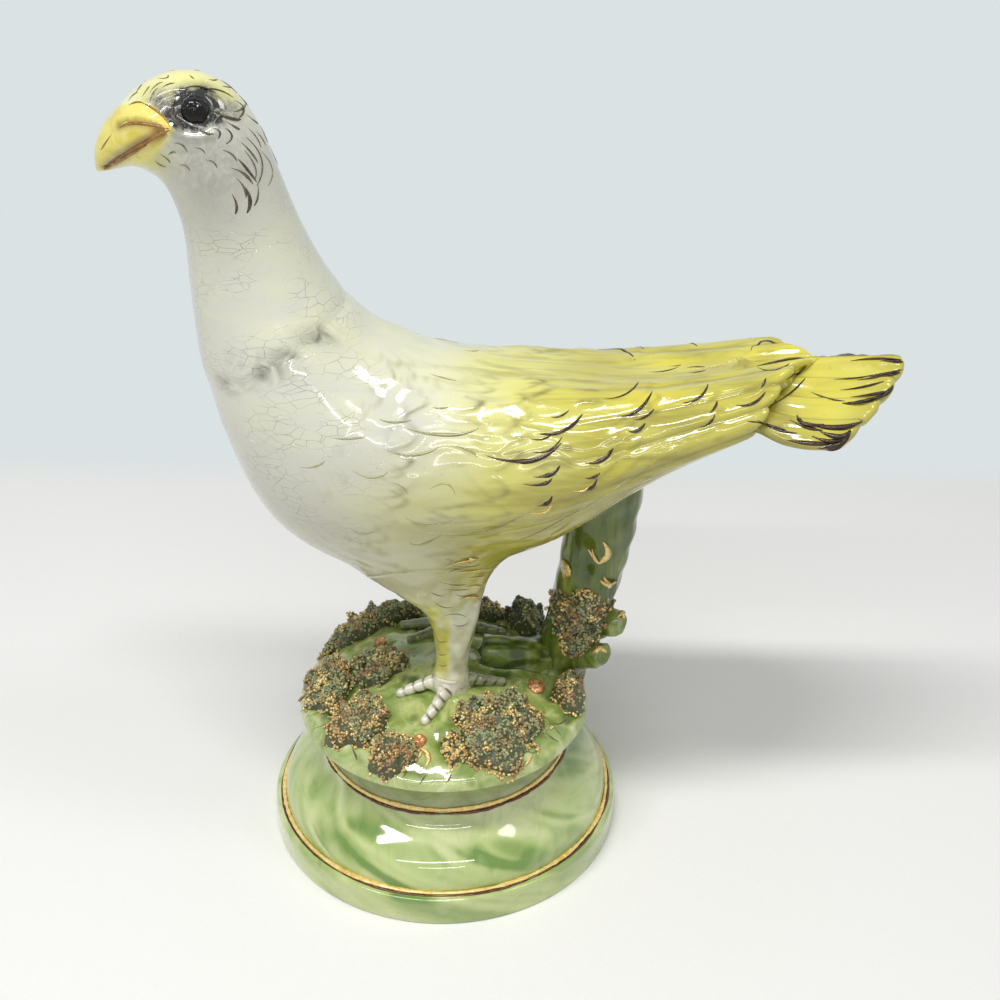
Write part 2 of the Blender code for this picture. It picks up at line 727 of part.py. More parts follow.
def stump_frame():
    centre, radius = stump_at(STUMP_MOSS_RISE)
    front = Vector((0.0, -1.0, 0.0))
    return centre + radius * front, Vector((0.0, 0.0, 1.0)), Vector((1.0, 0.0, 0.0)), front


def pellet_mesh(name, pellet):
    centre = mound_frame(pellet.angle, pellet.share)[0]
    return ball_mesh(name, centre, pellet.radius)


def build_plinth_and_mound():
    plinth = add_object("plinth_foot", profile_mesh("plinth_foot", plinth_profile()), MARBLED_GREEN)
    turn(plinth)
    build = bmesh.new()
    bmesh.ops.create_cone(build, cap_ends=True, segments=VENT_SIDES, radius1=VENT_RADIUS,
                          radius2=VENT_RADIUS, depth=2 * VENT_DEPTH)
    bmesh.ops.translate(build, verts=build.verts, vec=(VENT_OFFSET, 0.0, 0.0))
    cut(plinth, add_cutter("firing_vent_cut", finish_mesh("firing_vent_cut", build)))
    mound = add_object("mound", profile_mesh("mound", mound_profile(0.0)), GRASS_GREEN)
    turn(mound)
    mound_seat = add_cutter("mound_seat", profile_mesh("mound_seat", mound_profile(LUTE_GAP)))
    turn(mound_seat)
    return mound_seat


def build_body_and_head():
    add_object("body", loft("body", body_rings(0.0)), IVORY)
    head = add_object("neck_and_head", loft("neck_and_head", neck_rings()), IVORY)
    beak = skin_rings(BEAK_RIBS, 0, len(BEAK_RIBS) - 1, BEAK_RINGS, BEAK_SIDES)
    join(head, add_cutter("beak_shape", loft("beak_shape", beak)))
    for name, side in (("left", 1), ("right", -1)):
        add_object(name + "_eye", eye_mesh(name + "_eye", side, 0.0), EYE_BLACK)
        cut(head, add_cutter(name + "_eye_socket", eye_mesh(name + "_eye_socket", side, LUTE_GAP)))
    return add_cutter("body_seat", loft("body_seat", body_rings(LUTE_GAP)))


def build_wings_and_tail():
    for name, side in (("left_wing", 1), ("right_wing", -1)):
        add_object(name, wing_mesh(name, side), LEMON)
    add_object("tail", tail_mesh("tail"), LEMON)


def build_legs_and_feet(mound_seat, body_seat):
    for name, side, toes in (("left", 1, LEFT_TOES), ("right", -1, RIGHT_TOES)):
        cut(add_object(name + "_leg", leg_mesh(name + "_leg", side), IVORY), body_seat)
        foot = add_object(name + "_foot", pad_mesh(name + "_foot", side), CREAM)
        for number, toe in enumerate(toes):
            label = f"{name}_toe_{number}"
            join(foot, add_cutter(label, toe_mesh(label, side, toe)))
        cut(foot, mound_seat)


def build_stump(mound_seat, body_seat):
    stump = add_object("stump", stump_mesh("stump", 0.0), BARK_GREEN)
    cut(stump, mound_seat, body_seat)
    stump_seat = add_cutter("stump_seat", stump_mesh("stump_seat", LUTE_GAP))
    branch = add_object("fallen_branch", branch_mesh("fallen_branch", 0.0), BARK_GREEN)
    cut(branch, mound_seat, stump_seat)
    stubs = (
        ("upper_stub", UPPER_STUB_RISE, UPPER_STUB_REACH, UPPER_STUB_DIRECTION),
        ("lower_stub", LOWER_STUB_RISE, LOWER_STUB_REACH, LOWER_STUB_DIRECTION),
    )
    seats = [stump_seat]
    for name, rise, reach, direction in stubs:
        stub = add_object(name, stub_mesh(name, rise, reach, direction, 0.0), BARK_GREEN)
        cut(stub, mound_seat, stump_seat)
        seat = stub_mesh(name + "_seat", rise, reach, direction, LUTE_GAP)
        seats.append(add_cutter(name + "_seat", seat))
    seats.append(add_cutter("branch_seat", branch_mesh("branch_seat", LUTE_GAP)))
    return seats


def build_moss_and_pellets(mound_seat, stump_seats):
    for clump in MOSS_CLUMPS:
        frame = mound_frame(clump.angle, clump.share)
        mesh = clump_mesh(clump.name, frame, clump.half_length, clump.half_width, clump.height)
        cut(add_object(clump.name, mesh, MOSS_BROWN), mound_seat, *stump_seats)
    mesh = clump_mesh("moss_on_stump", stump_frame(), STUMP_MOSS_HALF_HEIGHT, STUMP_MOSS_HALF_WIDTH,
                      STUMP_MOSS_PROUD)
    cut(add_object("moss_on_stump", mesh, MOSS_BROWN), *stump_seats)
    for pellet in PELLETS:
        cut(add_object(pellet.name, pellet_mesh(pellet.name, pellet), PELLET_ORANGE), mound_seat)


for old in list(bpy.data.objects):
    bpy.data.objects.remove(old, do_unlink=True)

figurine = bpy.data.collections.new("Majolica bird figurine")
cutters = bpy.data.collections.new("Cutters")
bpy.context.scene.collection.children.link(figurine)
bpy.context.scene.collection.children.link(cutters)

MARBLED_GREEN = glaze("marbled green glaze", 0.42, 0.52, 0.20, 0.12)
GRASS_GREEN = glaze("grass green glaze", 0.30, 0.38, 0.12, 0.15)
IVORY = glaze("ivory glaze", 0.62, 0.61, 0.50, 0.12)
LEMON = glaze("lemon glaze", 0.82, 0.75, 0.18, 0.12)
CREAM = glaze("cream glaze", 0.58, 0.56, 0.38, 0.15)
EYE_BLACK = glaze("black glaze", 0.01, 0.01, 0.01, 0.05)
BARK_GREEN = glaze("bark green glaze", 0.13, 0.20, 0.05, 0.15)
MOSS_BROWN = glaze("gilt brown moss", 0.20, 0.16, 0.07, 0.40)
PELLET_ORANGE = glaze("orange pellet glaze", 0.55, 0.30, 0.10, 0.20)

mound_cutter = build_plinth_and_mound()
body_cutter = build_body_and_head()
build_wings_and_tail()
build_legs_and_feet(mound_cutter, body_cutter)
build_moss_and_pellets(mound_cutter, build_stump(mound_cutter, body_cutter))
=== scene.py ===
import math

import bmesh
import bpy
import numpy as np
from mathutils import Euler, Matrix, Vector
from mathutils.bvhtree import BVHTree


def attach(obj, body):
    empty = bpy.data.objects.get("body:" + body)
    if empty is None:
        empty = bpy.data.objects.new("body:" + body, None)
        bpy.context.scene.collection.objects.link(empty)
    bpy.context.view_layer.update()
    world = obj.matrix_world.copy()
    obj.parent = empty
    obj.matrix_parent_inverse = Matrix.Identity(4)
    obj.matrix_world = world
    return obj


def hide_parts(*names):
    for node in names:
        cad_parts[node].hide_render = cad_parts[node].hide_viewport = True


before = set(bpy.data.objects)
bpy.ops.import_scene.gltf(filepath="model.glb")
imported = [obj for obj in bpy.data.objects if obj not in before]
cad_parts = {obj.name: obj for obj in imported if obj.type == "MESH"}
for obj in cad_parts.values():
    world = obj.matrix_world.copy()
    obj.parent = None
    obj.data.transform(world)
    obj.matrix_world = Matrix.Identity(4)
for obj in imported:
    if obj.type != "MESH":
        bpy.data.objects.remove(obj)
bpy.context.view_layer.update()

root = "root"
print("frame loaded:", len(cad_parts), "nodes")

# camera at the photo's angle, with the picture taken as 1000 by 1000
camera = {"place": (0.01872, -0.39414, 0.35172), "tilt": 60.3, "roll": 0.6,
          "lens": 50.4, "sensor": 36.0, "picture": 1000, "nearest": 0.01}
focalPixels = camera["lens"] / camera["sensor"] * camera["picture"]
pictureMiddle = camera["picture"] / 2


def cameraTurn():
    tilt = Euler((math.radians(camera["tilt"]), 0, 0)).to_matrix()
    return tilt @ Matrix.Rotation(math.radians(camera["roll"]), 3, "Z")


def setCamera():
    lens = bpy.data.cameras.new("studioCamera")
    lens.lens = camera["lens"]
    lens.sensor_width = camera["sensor"]
    lens.clip_start = camera["nearest"]
    holder = bpy.data.objects.new("studioCamera", lens)
    holder.matrix_world = Matrix.Translation(camera["place"]) @ cameraTurn().to_4x4()
    bpy.context.scene.collection.objects.link(holder)
    bpy.context.scene.camera = holder


def pixelRay(x, y):
    way = Vector(((x - pictureMiddle) / focalPixels, (pictureMiddle - y) / focalPixels, -1))
    return (cameraTurn() @ way).normalized()


def pixelOf(points):
    seen = (points - np.array(camera["place"])) @ np.array(cameraTurn())
    return (pictureMiddle - focalPixels * seen[:, 0] / seen[:, 2],
            pictureMiddle + focalPixels * seen[:, 1] / seen[:, 2])


# small helpers for numbers
def ease(value):
    held = np.clip(value, 0.0, 1.0)
    return held * held * (3 - 2 * held)


def fade(value, start, run):  # 0 at the start, 1 at the end of the run; a run below 0 goes down
    return ease((value - start) / run)


def hill(distance, width):
    return np.exp(-(distance / width) ** 2)


def unit(vectors):
    return vectors / np.maximum(np.linalg.norm(vectors, axis=-1, keepdims=True), 1e-12)


def between(start, end, share):
    return start + (end - start) * share


def circle(count):  # even angles, once round
    return np.linspace(0, 2 * math.pi, count, endpoint=False)


def grid(rows, columns):
    return np.meshgrid(rows, columns, indexing="ij")


waves = {"count": 16, "slowest": 0.6, "quickest": 1.4}


def ripple(points, size, seed):  # smooth random swell, about -1 to 1
    pick = np.random.default_rng(seed)
    count = waves["count"]
    ways = unit(pick.normal(size=(count, 3))) * 2 * math.pi / size
    ways = ways * pick.uniform(waves["slowest"], waves["quickest"], (count, 1))
    return np.sin(points @ ways.T + pick.uniform(0, 2 * math.pi, count)).sum(-1) / math.sqrt(count)


def soften(sheet, passes):  # rounds off relief, as thick glaze does
    for _ in range(passes):
        sheet = np.pad(sheet, 1, mode="edge")
        sheet = (sheet[:-2] + 2 * sheet[1:-1] + sheet[2:]) / 4
        sheet = (sheet[:, :-2] + 2 * sheet[:, 1:-1] + sheet[:, 2:]) / 4
    return sheet


def bend(start, pull, press, end, steps):  # cubic curve without its start
    t = np.linspace(0, 1, steps + 1)[1:, None]
    start, pull, press, end = (np.array(p, float) for p in (start, pull, press, end))
    return (1 - t) ** 3 * start + 3 * t * (1 - t) ** 2 * pull + 3 * t * t * (1 - t) * press + t ** 3 * end


def slopesThrough(values):  # slopes of a natural cubic through evenly spaced rows
    count = len(values)
    system = 4 * np.eye(count) + np.eye(count, k=1) + np.eye(count, k=-1)
    system[0, 0] = system[-1, -1] = 2
    pull = np.zeros_like(values)
    pull[1:-1] = 3 * (values[2:] - values[:-2])
    pull[0] = 3 * (values[1] - values[0])
    pull[-1] = 3 * (values[-1] - values[-2])
    return np.linalg.solve(system, pull)


def rowAt(rows, place):  # reads a table of sizes at any place between its rows
    slopes = slopesThrough(rows)
    index = np.clip(np.floor(place).astype(int), 0, len(rows) - 2)
    t = (place - index)[..., None]
    start, end, leave, arrive = rows[index], rows[index + 1], slopes[index], slopes[index + 1]
    turn = 2 * start - 2 * end + leave + arrive
    return start + t * leave + t * t * (end - start - leave - turn) + t ** 3 * turn


def stirred(points, level, amount, size, seed):  # a level made uneven by a ripple
    return level + amount * ripple(points, size, seed)


# meshes
def outward(points, faceSets):
    volume = 0.0
    for faces in faceSets:
        first = points[faces[:, 0]]
        for corner in range(1, faces.shape[1] - 1):
            across = np.cross(points[faces[:, corner]], points[faces[:, corner + 1]])
            volume += np.einsum("ij,ij->", first, across)
    return faceSets if volume > 0 else [faces[:, ::-1] for faces in faceSets]


def addPiece(name, points, faceSets, finish):
    mesh = bpy.data.meshes.new(name)
    faceSets = outward(points, faceSets)
    corners = np.concatenate([faces.ravel() for faces in faceSets]).astype(np.int32)
    sizes = np.concatenate([np.full(len(faces), faces.shape[1]) for faces in faceSets])
    mesh.vertices.add(len(points))
    mesh.vertices.foreach_set("co", points.astype(np.float32).ravel())
    mesh.loops.add(len(corners))
    mesh.loops.foreach_set("vertex_index", corners)
    mesh.polygons.add(len(sizes))
    mesh.polygons.foreach_set("loop_start", np.concatenate([[0], np.cumsum(sizes)[:-1]]).astype(np.int32))
    mesh.update(calc_edges=True)
    mesh.validate()
    mesh.shade_smooth()
    mesh.materials.append(finish)
    piece = bpy.data.objects.new(name, mesh)
    bpy.context.scene.collection.objects.link(piece)
    return piece


def tube(rings):  # closed skin over rows of rings, with a hub at each end
    rows, sides = rings.shape[:2]
    index = np.arange(rows * sides).reshape(rows, sides)
    after = np.roll(index, -1, axis=1)
    quads = np.stack([index[:-1], after[:-1], after[1:], index[1:]], -1).reshape(-1, 4)
    hubs = rings[[0, -1]].mean(1)
    start = np.stack([after[0], index[0], np.full(sides, rows * sides)], -1)
    end = np.stack([index[-1], after[-1], np.full(sides, rows * sides + 1)], -1)
    return np.concatenate([rings.reshape(-1, 3), hubs]), [quads, np.concatenate([start, end])]


def slab(outer, inner):  # closed solid between two sheets of the same rows and columns
    top = np.arange(outer.shape[0] * outer.shape[1]).reshape(outer.shape[:2])
    under = top + top.size

    def quads(index):
        return np.stack([index[:-1, :-1], index[:-1, 1:], index[1:, 1:], index[1:, :-1]], -1).reshape(-1, 4)

    def rim(index):
        return np.concatenate([index[0], index[1:, -1], index[-1, -2::-1], index[-2:0:-1, 0]])

    edge, sunk = rim(top), rim(under)
    band = np.stack([np.roll(edge, -1), edge, sunk, np.roll(sunk, -1)], -1)
    points = np.concatenate([outer.reshape(-1, 3), inner.reshape(-1, 3)])
    return points, [quads(top), quads(under)[:, ::-1], band]


upright = np.array((0.0, 0.0, 1.0))


def turned(profile, sides):  # spins a profile of radius and height round the axis
    angle = circle(sides)
    radius, height = np.asarray(profile).T
    return np.stack([np.outer(radius, np.cos(angle)), np.outer(radius, np.sin(angle)),
                     np.repeat(height[:, None], sides, 1)], -1)


def rodRings(path, radii, sides, along=None):  # rings round a path, or all square to one direction
    along = unit(np.gradient(path, axis=0)) if along is None else unit(along)[None]
    across = unit(np.cross(along, upright))
    over = np.cross(across, along)
    angle = circle(sides)[:, None]
    turn = np.cos(angle) * across[:, None] + np.sin(angle) * over[:, None]
    return path[:, None] + radii[:, None, None] * turn


def ballShape(cuts, radius):
    ball = bmesh.new()
    bmesh.ops.create_icosphere(ball, subdivisions=cuts, radius=radius)
    points = np.array([vertex.co[:] for vertex in ball.verts])
    faces = np.array([[vertex.index for vertex in face.verts] for face in ball.faces])
    ball.free()
    return points, faces


def addTube(name, rings, finish):
    points, faces = tube(rings)
    return addPiece(name, points, faces, finish), points


def withHubs(values):  # a tube's two end points take no paint
    return np.append(values, (0, 0))


def readRows(source, key):
    rows = np.empty(len(source) * 3, np.float32)
    source.foreach_get(key, rows)
    return rows.reshape(-1, 3).astype(float)


def coordsOf(piece):
    return readRows(piece.data.vertices, "co")


def normalsOf(piece):
    return readRows(piece.data.vertex_normals, "vector")


def moveTo(piece, points):
    piece.data.vertices.foreach_set("co", points.astype(np.float32).ravel())
    piece.data.update()


def raiseSkin(piece, points, height):  # moves each point out by its own height
    moveTo(piece, points + height[:, None] * normalsOf(piece))


def treeOf(*pieces):
    points, faces = [], []
    for piece in pieces:
        start = len(points)
        points += [vertex.co.copy() for vertex in piece.data.vertices]
        faces += [[start + corner for corner in face.vertices] for face in piece.data.polygons]
    return BVHTree.FromPolygons(points, faces)


fillets = {"fill": 0.25, "leastTurn": 0.35}


def swell(piece, tree, reach, box):  # fills the angle where a piece meets its neighbour
    points, normals = coordsOf(piece), normalsOf(piece)
    low, high = box
    close = np.all((points > low - reach) & (points < high + reach), axis=1)
    for index in np.nonzero(close)[0]:
        near, facing, _, gap = tree.find_nearest(points[index], reach)
        if near is None:
            continue
        inside = (Vector(points[index]) - near).dot(facing) < 0
        share = (1 + gap / reach * (1 if inside else -1)) / 2
        way = (1 - share) * normals[index] + share * np.array(facing)
        push = fillets["fill"] * reach * (1 - gap / reach) ** 2
        points[index] += push * way / max(way @ way, fillets["leastTurn"])
    moveTo(piece, points)


def fillet(first, second, reach):
    trees = treeOf(first), treeOf(second)
    boxes = [(coordsOf(piece).min(0), coordsOf(piece).max(0)) for piece in (first, second)]
    swell(first, trees[1], reach, boxes[1])
    swell(second, trees[0], reach, boxes[0])


def paint(piece, **layers):  # one value for each point, read by the glaze's nodes
    for name, values in layers.items():
        layer = piece.data.attributes.new(name, "FLOAT", "POINT")
        layer.data.foreach_set("value", np.asarray(values, np.float32))


def dress(piece, slot, *nodes):
    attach(piece, root)
    if nodes:
        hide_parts(*nodes)
    return piece


# glazes
def colour(red, green, blue):  # screen values 0 to 255 to linear
    parts = [part / 255 for part in (red, green, blue)]
    linear = [part / 12.92 if part <= 0.04045 else ((part + 0.055) / 1.055) ** 2.4 for part in parts]
    return (*linear, 1.0)


def toneOf(shade):  # screen red, green and blue, or one grey in linear light
    return colour(*shade) if isinstance(shade, tuple) else (shade, shade, shade, 1.0)


coatRoughness = 0.04
noiseRoughness = 0.55
plainSpecular = 0.5


class NodeBench:  # adds nodes to one tree; sockets are named or numbered
    def __init__(self, tree):
        self.tree = tree

    def fill(self, node, sockets):
        for key, value in sockets.items():
            if isinstance(value, bpy.types.NodeSocket):
                self.tree.links.new(value, node.inputs[key])
            else:
                node.inputs[key].default_value = value

    def add(self, kind, sockets={}, **settings):
        node = self.tree.nodes.new(kind)
        for key, value in settings.items():
            setattr(node, key, value)
        self.fill(node, sockets)
        return node

    def sums(self, operation, first, second, clamp=False):
        node = self.add("ShaderNodeMath", {0: first, 1: second}, operation=operation, use_clamp=clamp)
        return node.outputs["Value"]


class Glaze(NodeBench):  # builds one finish, coat by coat
    def __init__(self, name, look):
        self.look = look
        self.finish = bpy.data.materials.new(name)
        self.finish.use_nodes = True
        super().__init__(self.finish.node_tree)
        self.shader = self.tree.nodes["Principled BSDF"]
        self.fill(self.shader, {"Roughness": look["roughness"], "Metallic": look.get("metal", 0.0),
                                "Coat Weight": look.get("coat", 0.0), "Coat Roughness": coatRoughness,
                                "Specular IOR Level": look.get("specular", plainSpecular)})
        self.place = self.add("ShaderNodeTexCoord").outputs["Object"]

    def noise(self, scale, detail=3.0, warp=0.0, vector=None):
        sockets = {"Vector": vector or self.place, "Scale": scale, "Detail": detail,
                   "Roughness": noiseRoughness, "Distortion": warp}
        return self.add("ShaderNodeTexNoise", sockets).outputs["Fac"]

    def stretched(self, scale, turn=(0.0, 0.0, 0.0)):
        sockets = {"Vector": self.place, "Rotation": turn, "Scale": scale}
        return self.add("ShaderNodeMapping", sockets).outputs["Vector"]

    def cracks(self, look):  # fine net of lines, its cells wider than tall
        flat = self.stretched((1.0, 1.0, look["flatten"]))
        warp = self.add("ShaderNodeTexNoise", {"Vector": flat, "Scale": look["scale"] * look["warpScale"]})
        sockets = {0: warp.outputs["Color"], "Scale": look["warp"] / look["scale"]}
        shift = self.add("ShaderNodeVectorMath", sockets, operation="SCALE")
        moved = self.add("ShaderNodeVectorMath", {0: flat, 1: shift.outputs["Vector"]}, operation="ADD")
        sockets = {"Vector": moved.outputs["Vector"], "Scale": look["scale"]}
        cells = self.add("ShaderNodeTexVoronoi", sockets, feature="DISTANCE_TO_EDGE")
        lines = self.ramp(cells.outputs["Distance"], (0.0, 1), (look["width"], 0))
        return self.times(lines, self.spread(look["gaps"], look["gapEnds"]))

    def layer(self, name):
        return self.add("ShaderNodeAttribute", attribute_name=name).outputs["Fac"]

    def ramp(self, factor, *stops):
        node = self.add("ShaderNodeValToRGB", {"Fac": factor})
        ends = node.color_ramp.elements
        while len(ends) < len(stops):
            ends.new(0.5)
        for end, (place, shade) in zip(ends, stops):
            end.position = place
            end.color = toneOf(shade)
        return node.outputs["Color"]

    def times(self, first, second, clamp=False):
        return self.sums("MULTIPLY", first, second, clamp)

    def swayed(self, name, noise, amount):  # a painted layer, made uneven by a noise
        return self.sums("ADD", self.layer(name), self.times(self.sums("SUBTRACT", noise, 0.5), amount))

    def spread(self, noise, stops, vector=None):  # one noise from shade to shade
        return self.ramp(self.noise(*noise, vector=vector), *stops)

    def lay(self, factor, shade, mask=None):  # a coat over what is there; a word reads a painted layer
        factor = self.layer(factor) if isinstance(factor, str) else factor
        factor = factor if mask is None else self.times(factor, mask, True)
        shade = toneOf(shade) if isinstance(shade, tuple) else shade
        sockets = {"Factor": factor, 6: self.shade, 7: shade}
        self.shade = self.add("ShaderNodeMix", sockets, data_type="RGBA").outputs[2]

    def done(self, height=None):  # the bump is a fine grain, unless a height is given
        height = height or self.noise(*self.look["grain"])
        bump = self.add("ShaderNodeBump", {"Height": height, "Distance": self.look["bump"], "Strength": 1.0})
        self.fill(self.shader, {"Normal": bump.outputs["Normal"], "Base Color": self.shade})
        return self.finish


# finishes: noises are scale, detail and warp; ramps are place and shade; shades are screen colours or a grey
beakYellows = [(0.25, (216, 192, 66)), (0.5, (234, 220, 98)), (0.75, (244, 236, 152))]
birdFinish = {
    "roughness": 0.13, "coat": 0.6, "cloud": (45, 4, 0.6), "cloudShare": 0.18, "cloudShade": (190, 190, 168),
    "streak": (60, 5, 1.2), "streakRun": (0.35, 1, 1.4), "streakSway": 0.5, "washGain": 0.9,
    "washFloor": 0.35, "olive": (150, 146, 66), "dusk": (142, 138, 124), "furrow": (112, 102, 40),
    "lemon": [(0.0, (220, 219, 204)), (0.26, (232, 232, 196)), (0.6, (235, 230, 124)), (1.0, (226, 214, 56))],
    "barb": (230, 4, 0.5), "barbRun": (0.15, 1, 1), "barbEnds": [(0.47, 0), (0.66, 1)],
    "barbShade": (146, 134, 46), "smoke": (330, 6, 1.2),
    "smokeShades": [(0.36, (34, 32, 32)), (0.50, (116, 114, 110)), (0.68, (178, 178, 174))],
    "ink": (480, 5, 1.8), "inkEnds": [(0.46, 1), (0.62, 0.35)], "soot": (22, 19, 18),
    "blot": (130, 5, 1.5), "blotEnds": [(0.35, 0), (0.7, 1)], "stain": (84, 80, 70),
    "crazing": {"scale": 185, "width": 0.018, "flatten": 2.2, "warpScale": 0.6, "warp": 0.7,
                "gaps": (75, 3), "gapEnds": [(0.43, 0), (0.62, 1)]},
    "crackleShare": 0.24, "crackleShade": (156, 148, 124), "crackleDip": 0.9,
    "speck": (420, 3), "speckEnds": [(0.66, 0), (0.74, 1)], "speckShare": 0.2, "speckShade": (120, 112, 80),
    "swell": (150, 2), "swellShare": 0.6, "bump": 0.00022}


def birdGlaze():
    look = birdFinish
    glaze = Glaze("ivoryAndLemonGlaze", look)
    streak = glaze.noise(*look["streak"], glaze.stretched(look["streakRun"]))
    glaze.shade = glaze.ramp(glaze.swayed("lemon", streak, look["streakSway"]), *look["lemon"])
    glaze.lay(glaze.noise(*look["cloud"]), look["cloudShade"], look["cloudShare"])
    washed = glaze.sums("ADD", glaze.times(streak, look["washGain"]), look["washFloor"])
    # olive wash, growing low on the body, where it also stands for painted shade
    glaze.lay("olive", look["olive"], washed)
    barb = glaze.spread(look["barb"], look["barbEnds"], glaze.stretched(look["barbRun"]))
    glaze.lay("barbs", look["barbShade"], barb)
    # painted shade on the cheek and on the lower breast
    glaze.lay("dusk", look["dusk"])
    glaze.lay("grey", glaze.spread(look["smoke"], look["smokeShades"]))
    glaze.lay("soot", look["soot"], glaze.spread(look["ink"], look["inkEnds"]))
    # furrow: painted shade in the feather creases and under the tail, and an olive wash on the shanks
    glaze.lay("furrow", look["furrow"])
    glaze.lay("stain", look["stain"], glaze.spread(look["blot"], look["blotEnds"]))
    glaze.lay("beakYellow", glaze.ramp(streak, *beakYellows))
    crackle = glaze.times(glaze.cracks(look["crazing"]), glaze.layer("crackle"))
    glaze.lay(crackle, look["crackleShade"], look["crackleShare"])
    glaze.lay(glaze.spread(look["speck"], look["speckEnds"]), look["speckShade"], look["speckShare"])
    rise = glaze.times(glaze.noise(*look["swell"]), look["swellShare"])
    return glaze.done(glaze.sums("SUBTRACT", rise, glaze.times(crackle, look["crackleDip"])))


beakFinish = {"roughness": 0.12, "coat": 0.6, "streak": (170, 5, 1.0), "chin": (206, 206, 128),
              "line": [(0.3, (92, 58, 12)), (0.7, (150, 104, 34))],
              "bare": [(0.3, (206, 204, 160)), (0.7, (230, 228, 184))], "grain": (240, 3), "bump": 0.0002}


def beakGlaze():
    glaze = Glaze("yellowBeakGlaze", beakFinish)
    streak = glaze.noise(*beakFinish["streak"])
    glaze.shade = glaze.ramp(streak, *beakYellows)
    glaze.lay("olive", beakFinish["chin"])
    glaze.lay("stain", glaze.ramp(streak, *beakFinish["line"]))
    glaze.lay("bare", glaze.ramp(streak, *beakFinish["bare"]))
    return glaze.done()


def patchyGlaze(name, look):
    glaze = Glaze(name, look)
    glaze.shade = glaze.spread(look["patch"], look["shades"])
    return glaze.done()


eyeFinish = {"roughness": 0.06, "specular": 0.3, "patch": (700, 3, 2.0), "grain": (900, 2), "bump": 0.00006,
             "shades": [(0.54, (8, 6, 5)), (0.66, (34, 22, 12)), (0.76, (132, 96, 52))]}

# brush paints: dark shade, light shade, metal and roughness
brushFinish = {"coat": 0.4, "patch": (520, 4, 1.0), "grain": (900, 2), "bump": 0.00008, "ends": (0.35, 0.68),
               "darkBrushStroke": ((28, 17, 10), (84, 56, 26), 0.35, 0.16),
               "oliveBrushStroke": ((78, 72, 50), (132, 122, 86), 0.0, 0.2),
               "goldLustre": ((232, 186, 94), (255, 236, 164), 0.15, 0.18),
               "sageScallopShade": ((158, 155, 106), (190, 186, 138), 0.0, 0.2),
               "sepiaBrushStroke": ((44, 37, 28), (98, 86, 60), 0.0, 0.22),
               "brownBeakLine": ((126, 80, 20), (182, 132, 50), 0.1, 0.18),
               "brownEdgeAndShadePaint": ((70, 38, 18), (126, 76, 38), 0.4, 0.2)}


def brushPaint(name):
    *shades, metal, roughness = brushFinish[name]
    shades = list(zip(brushFinish["ends"], shades))
    return patchyGlaze(name, {**brushFinish, "shades": shades, "metal": metal, "roughness": roughness})


marbledFinish = {
    "roughness": 0.08, "coat": 0.8, "smear": (70, 5, 1.2), "smearRun": (1.7, 0.8, 1.1),
    "smearTurn": (0.5, 0.7, 0.3), "smearSway": 0.55,
    "flow": [(0.06, (114, 148, 62)), (0.24, (148, 172, 88)), (0.42, (184, 200, 126)), (0.62, (204, 214, 146)),
             (0.85, (214, 222, 164))],
    "veilEnds": [(0.50, 0), (0.72, 0.4)], "veil": (132, 156, 74), "bloom": (30, 3, 0.8),
    "reflectionPatchEnds": [(0.56, 0), (0.74, 0.6)], "reflectionPatchShade": (214, 220, 168), "rim": (190, 198, 140),
    "grain": (60, 2), "bump": 0.00008}


def marbledGlaze():
    look = marbledFinish
    glaze = Glaze("marbledGreenGlaze", look)
    smear = glaze.noise(*look["smear"], glaze.stretched(look["smearRun"], look["smearTurn"]))
    glaze.shade = glaze.ramp(glaze.swayed("marble", smear, look["smearSway"]), *look["flow"])
    glaze.lay(glaze.ramp(smear, *look["veilEnds"]), look["veil"])
    # pale cloudy patches: painted reflections on the glaze
    glaze.lay(glaze.spread(look["bloom"], look["reflectionPatchEnds"]), look["reflectionPatchShade"])
    glaze.lay("pale", look["rim"])
    return glaze.done()


moundFinish = {
    "roughness": 0.11, "coat": 0.4, "patch": (80, 5, 1.4), "drip": (130, 4, 2.0),
    "grass": [(0.3, (104, 128, 54)), (0.44, (146, 164, 84)), (0.58, (186, 194, 122)),
              (0.74, (214, 218, 160))],
    "poolEnds": [(0.5, 0), (0.7, 0.6)], "pool": (104, 136, 58), "deep": (84, 110, 42),
    "lip": [(0.34, (150, 170, 96)), (0.52, (190, 200, 138)), (0.7, (216, 220, 172))],
    "cove": [(0.3, (126, 134, 84)), (0.7, (164, 172, 122))], "grain": (150, 2, 0.6), "bump": 0.00022}


def moundGlaze():
    look = moundFinish
    glaze = Glaze("grassGreenGlaze", look)
    patch = glaze.noise(*look["patch"])
    glaze.shade = glaze.ramp(patch, *look["grass"])
    glaze.lay(glaze.spread(look["drip"], look["poolEnds"]), look["pool"])
    glaze.lay("pale", glaze.ramp(patch, *look["lip"]))
    glaze.lay("deep", look["deep"])
    glaze.lay("collar", glaze.ramp(patch, *look["cove"]))
    return glaze.done()


barkFinish = {
    "roughness": 0.12, "coat": 0.3, "grain": (80, 5, 0.8), "grainRun": (1.5, 1.5, 0.3), "patch": (95, 4, 1.6),
    "bark": [(0.30, (48, 64, 12)), (0.43, (76, 94, 24)), (0.56, (106, 120, 36)), (0.74, (168, 174, 90))],
    "poolEnds": [(0.52, 0), (0.70, 0.75)], "pool": (70, 96, 30), "deep": (34, 62, 16),
    "fresh": [(0.34, (96, 124, 40)), (0.52, (150, 168, 82)), (0.7, (186, 190, 116))], "bump": 0.0005}


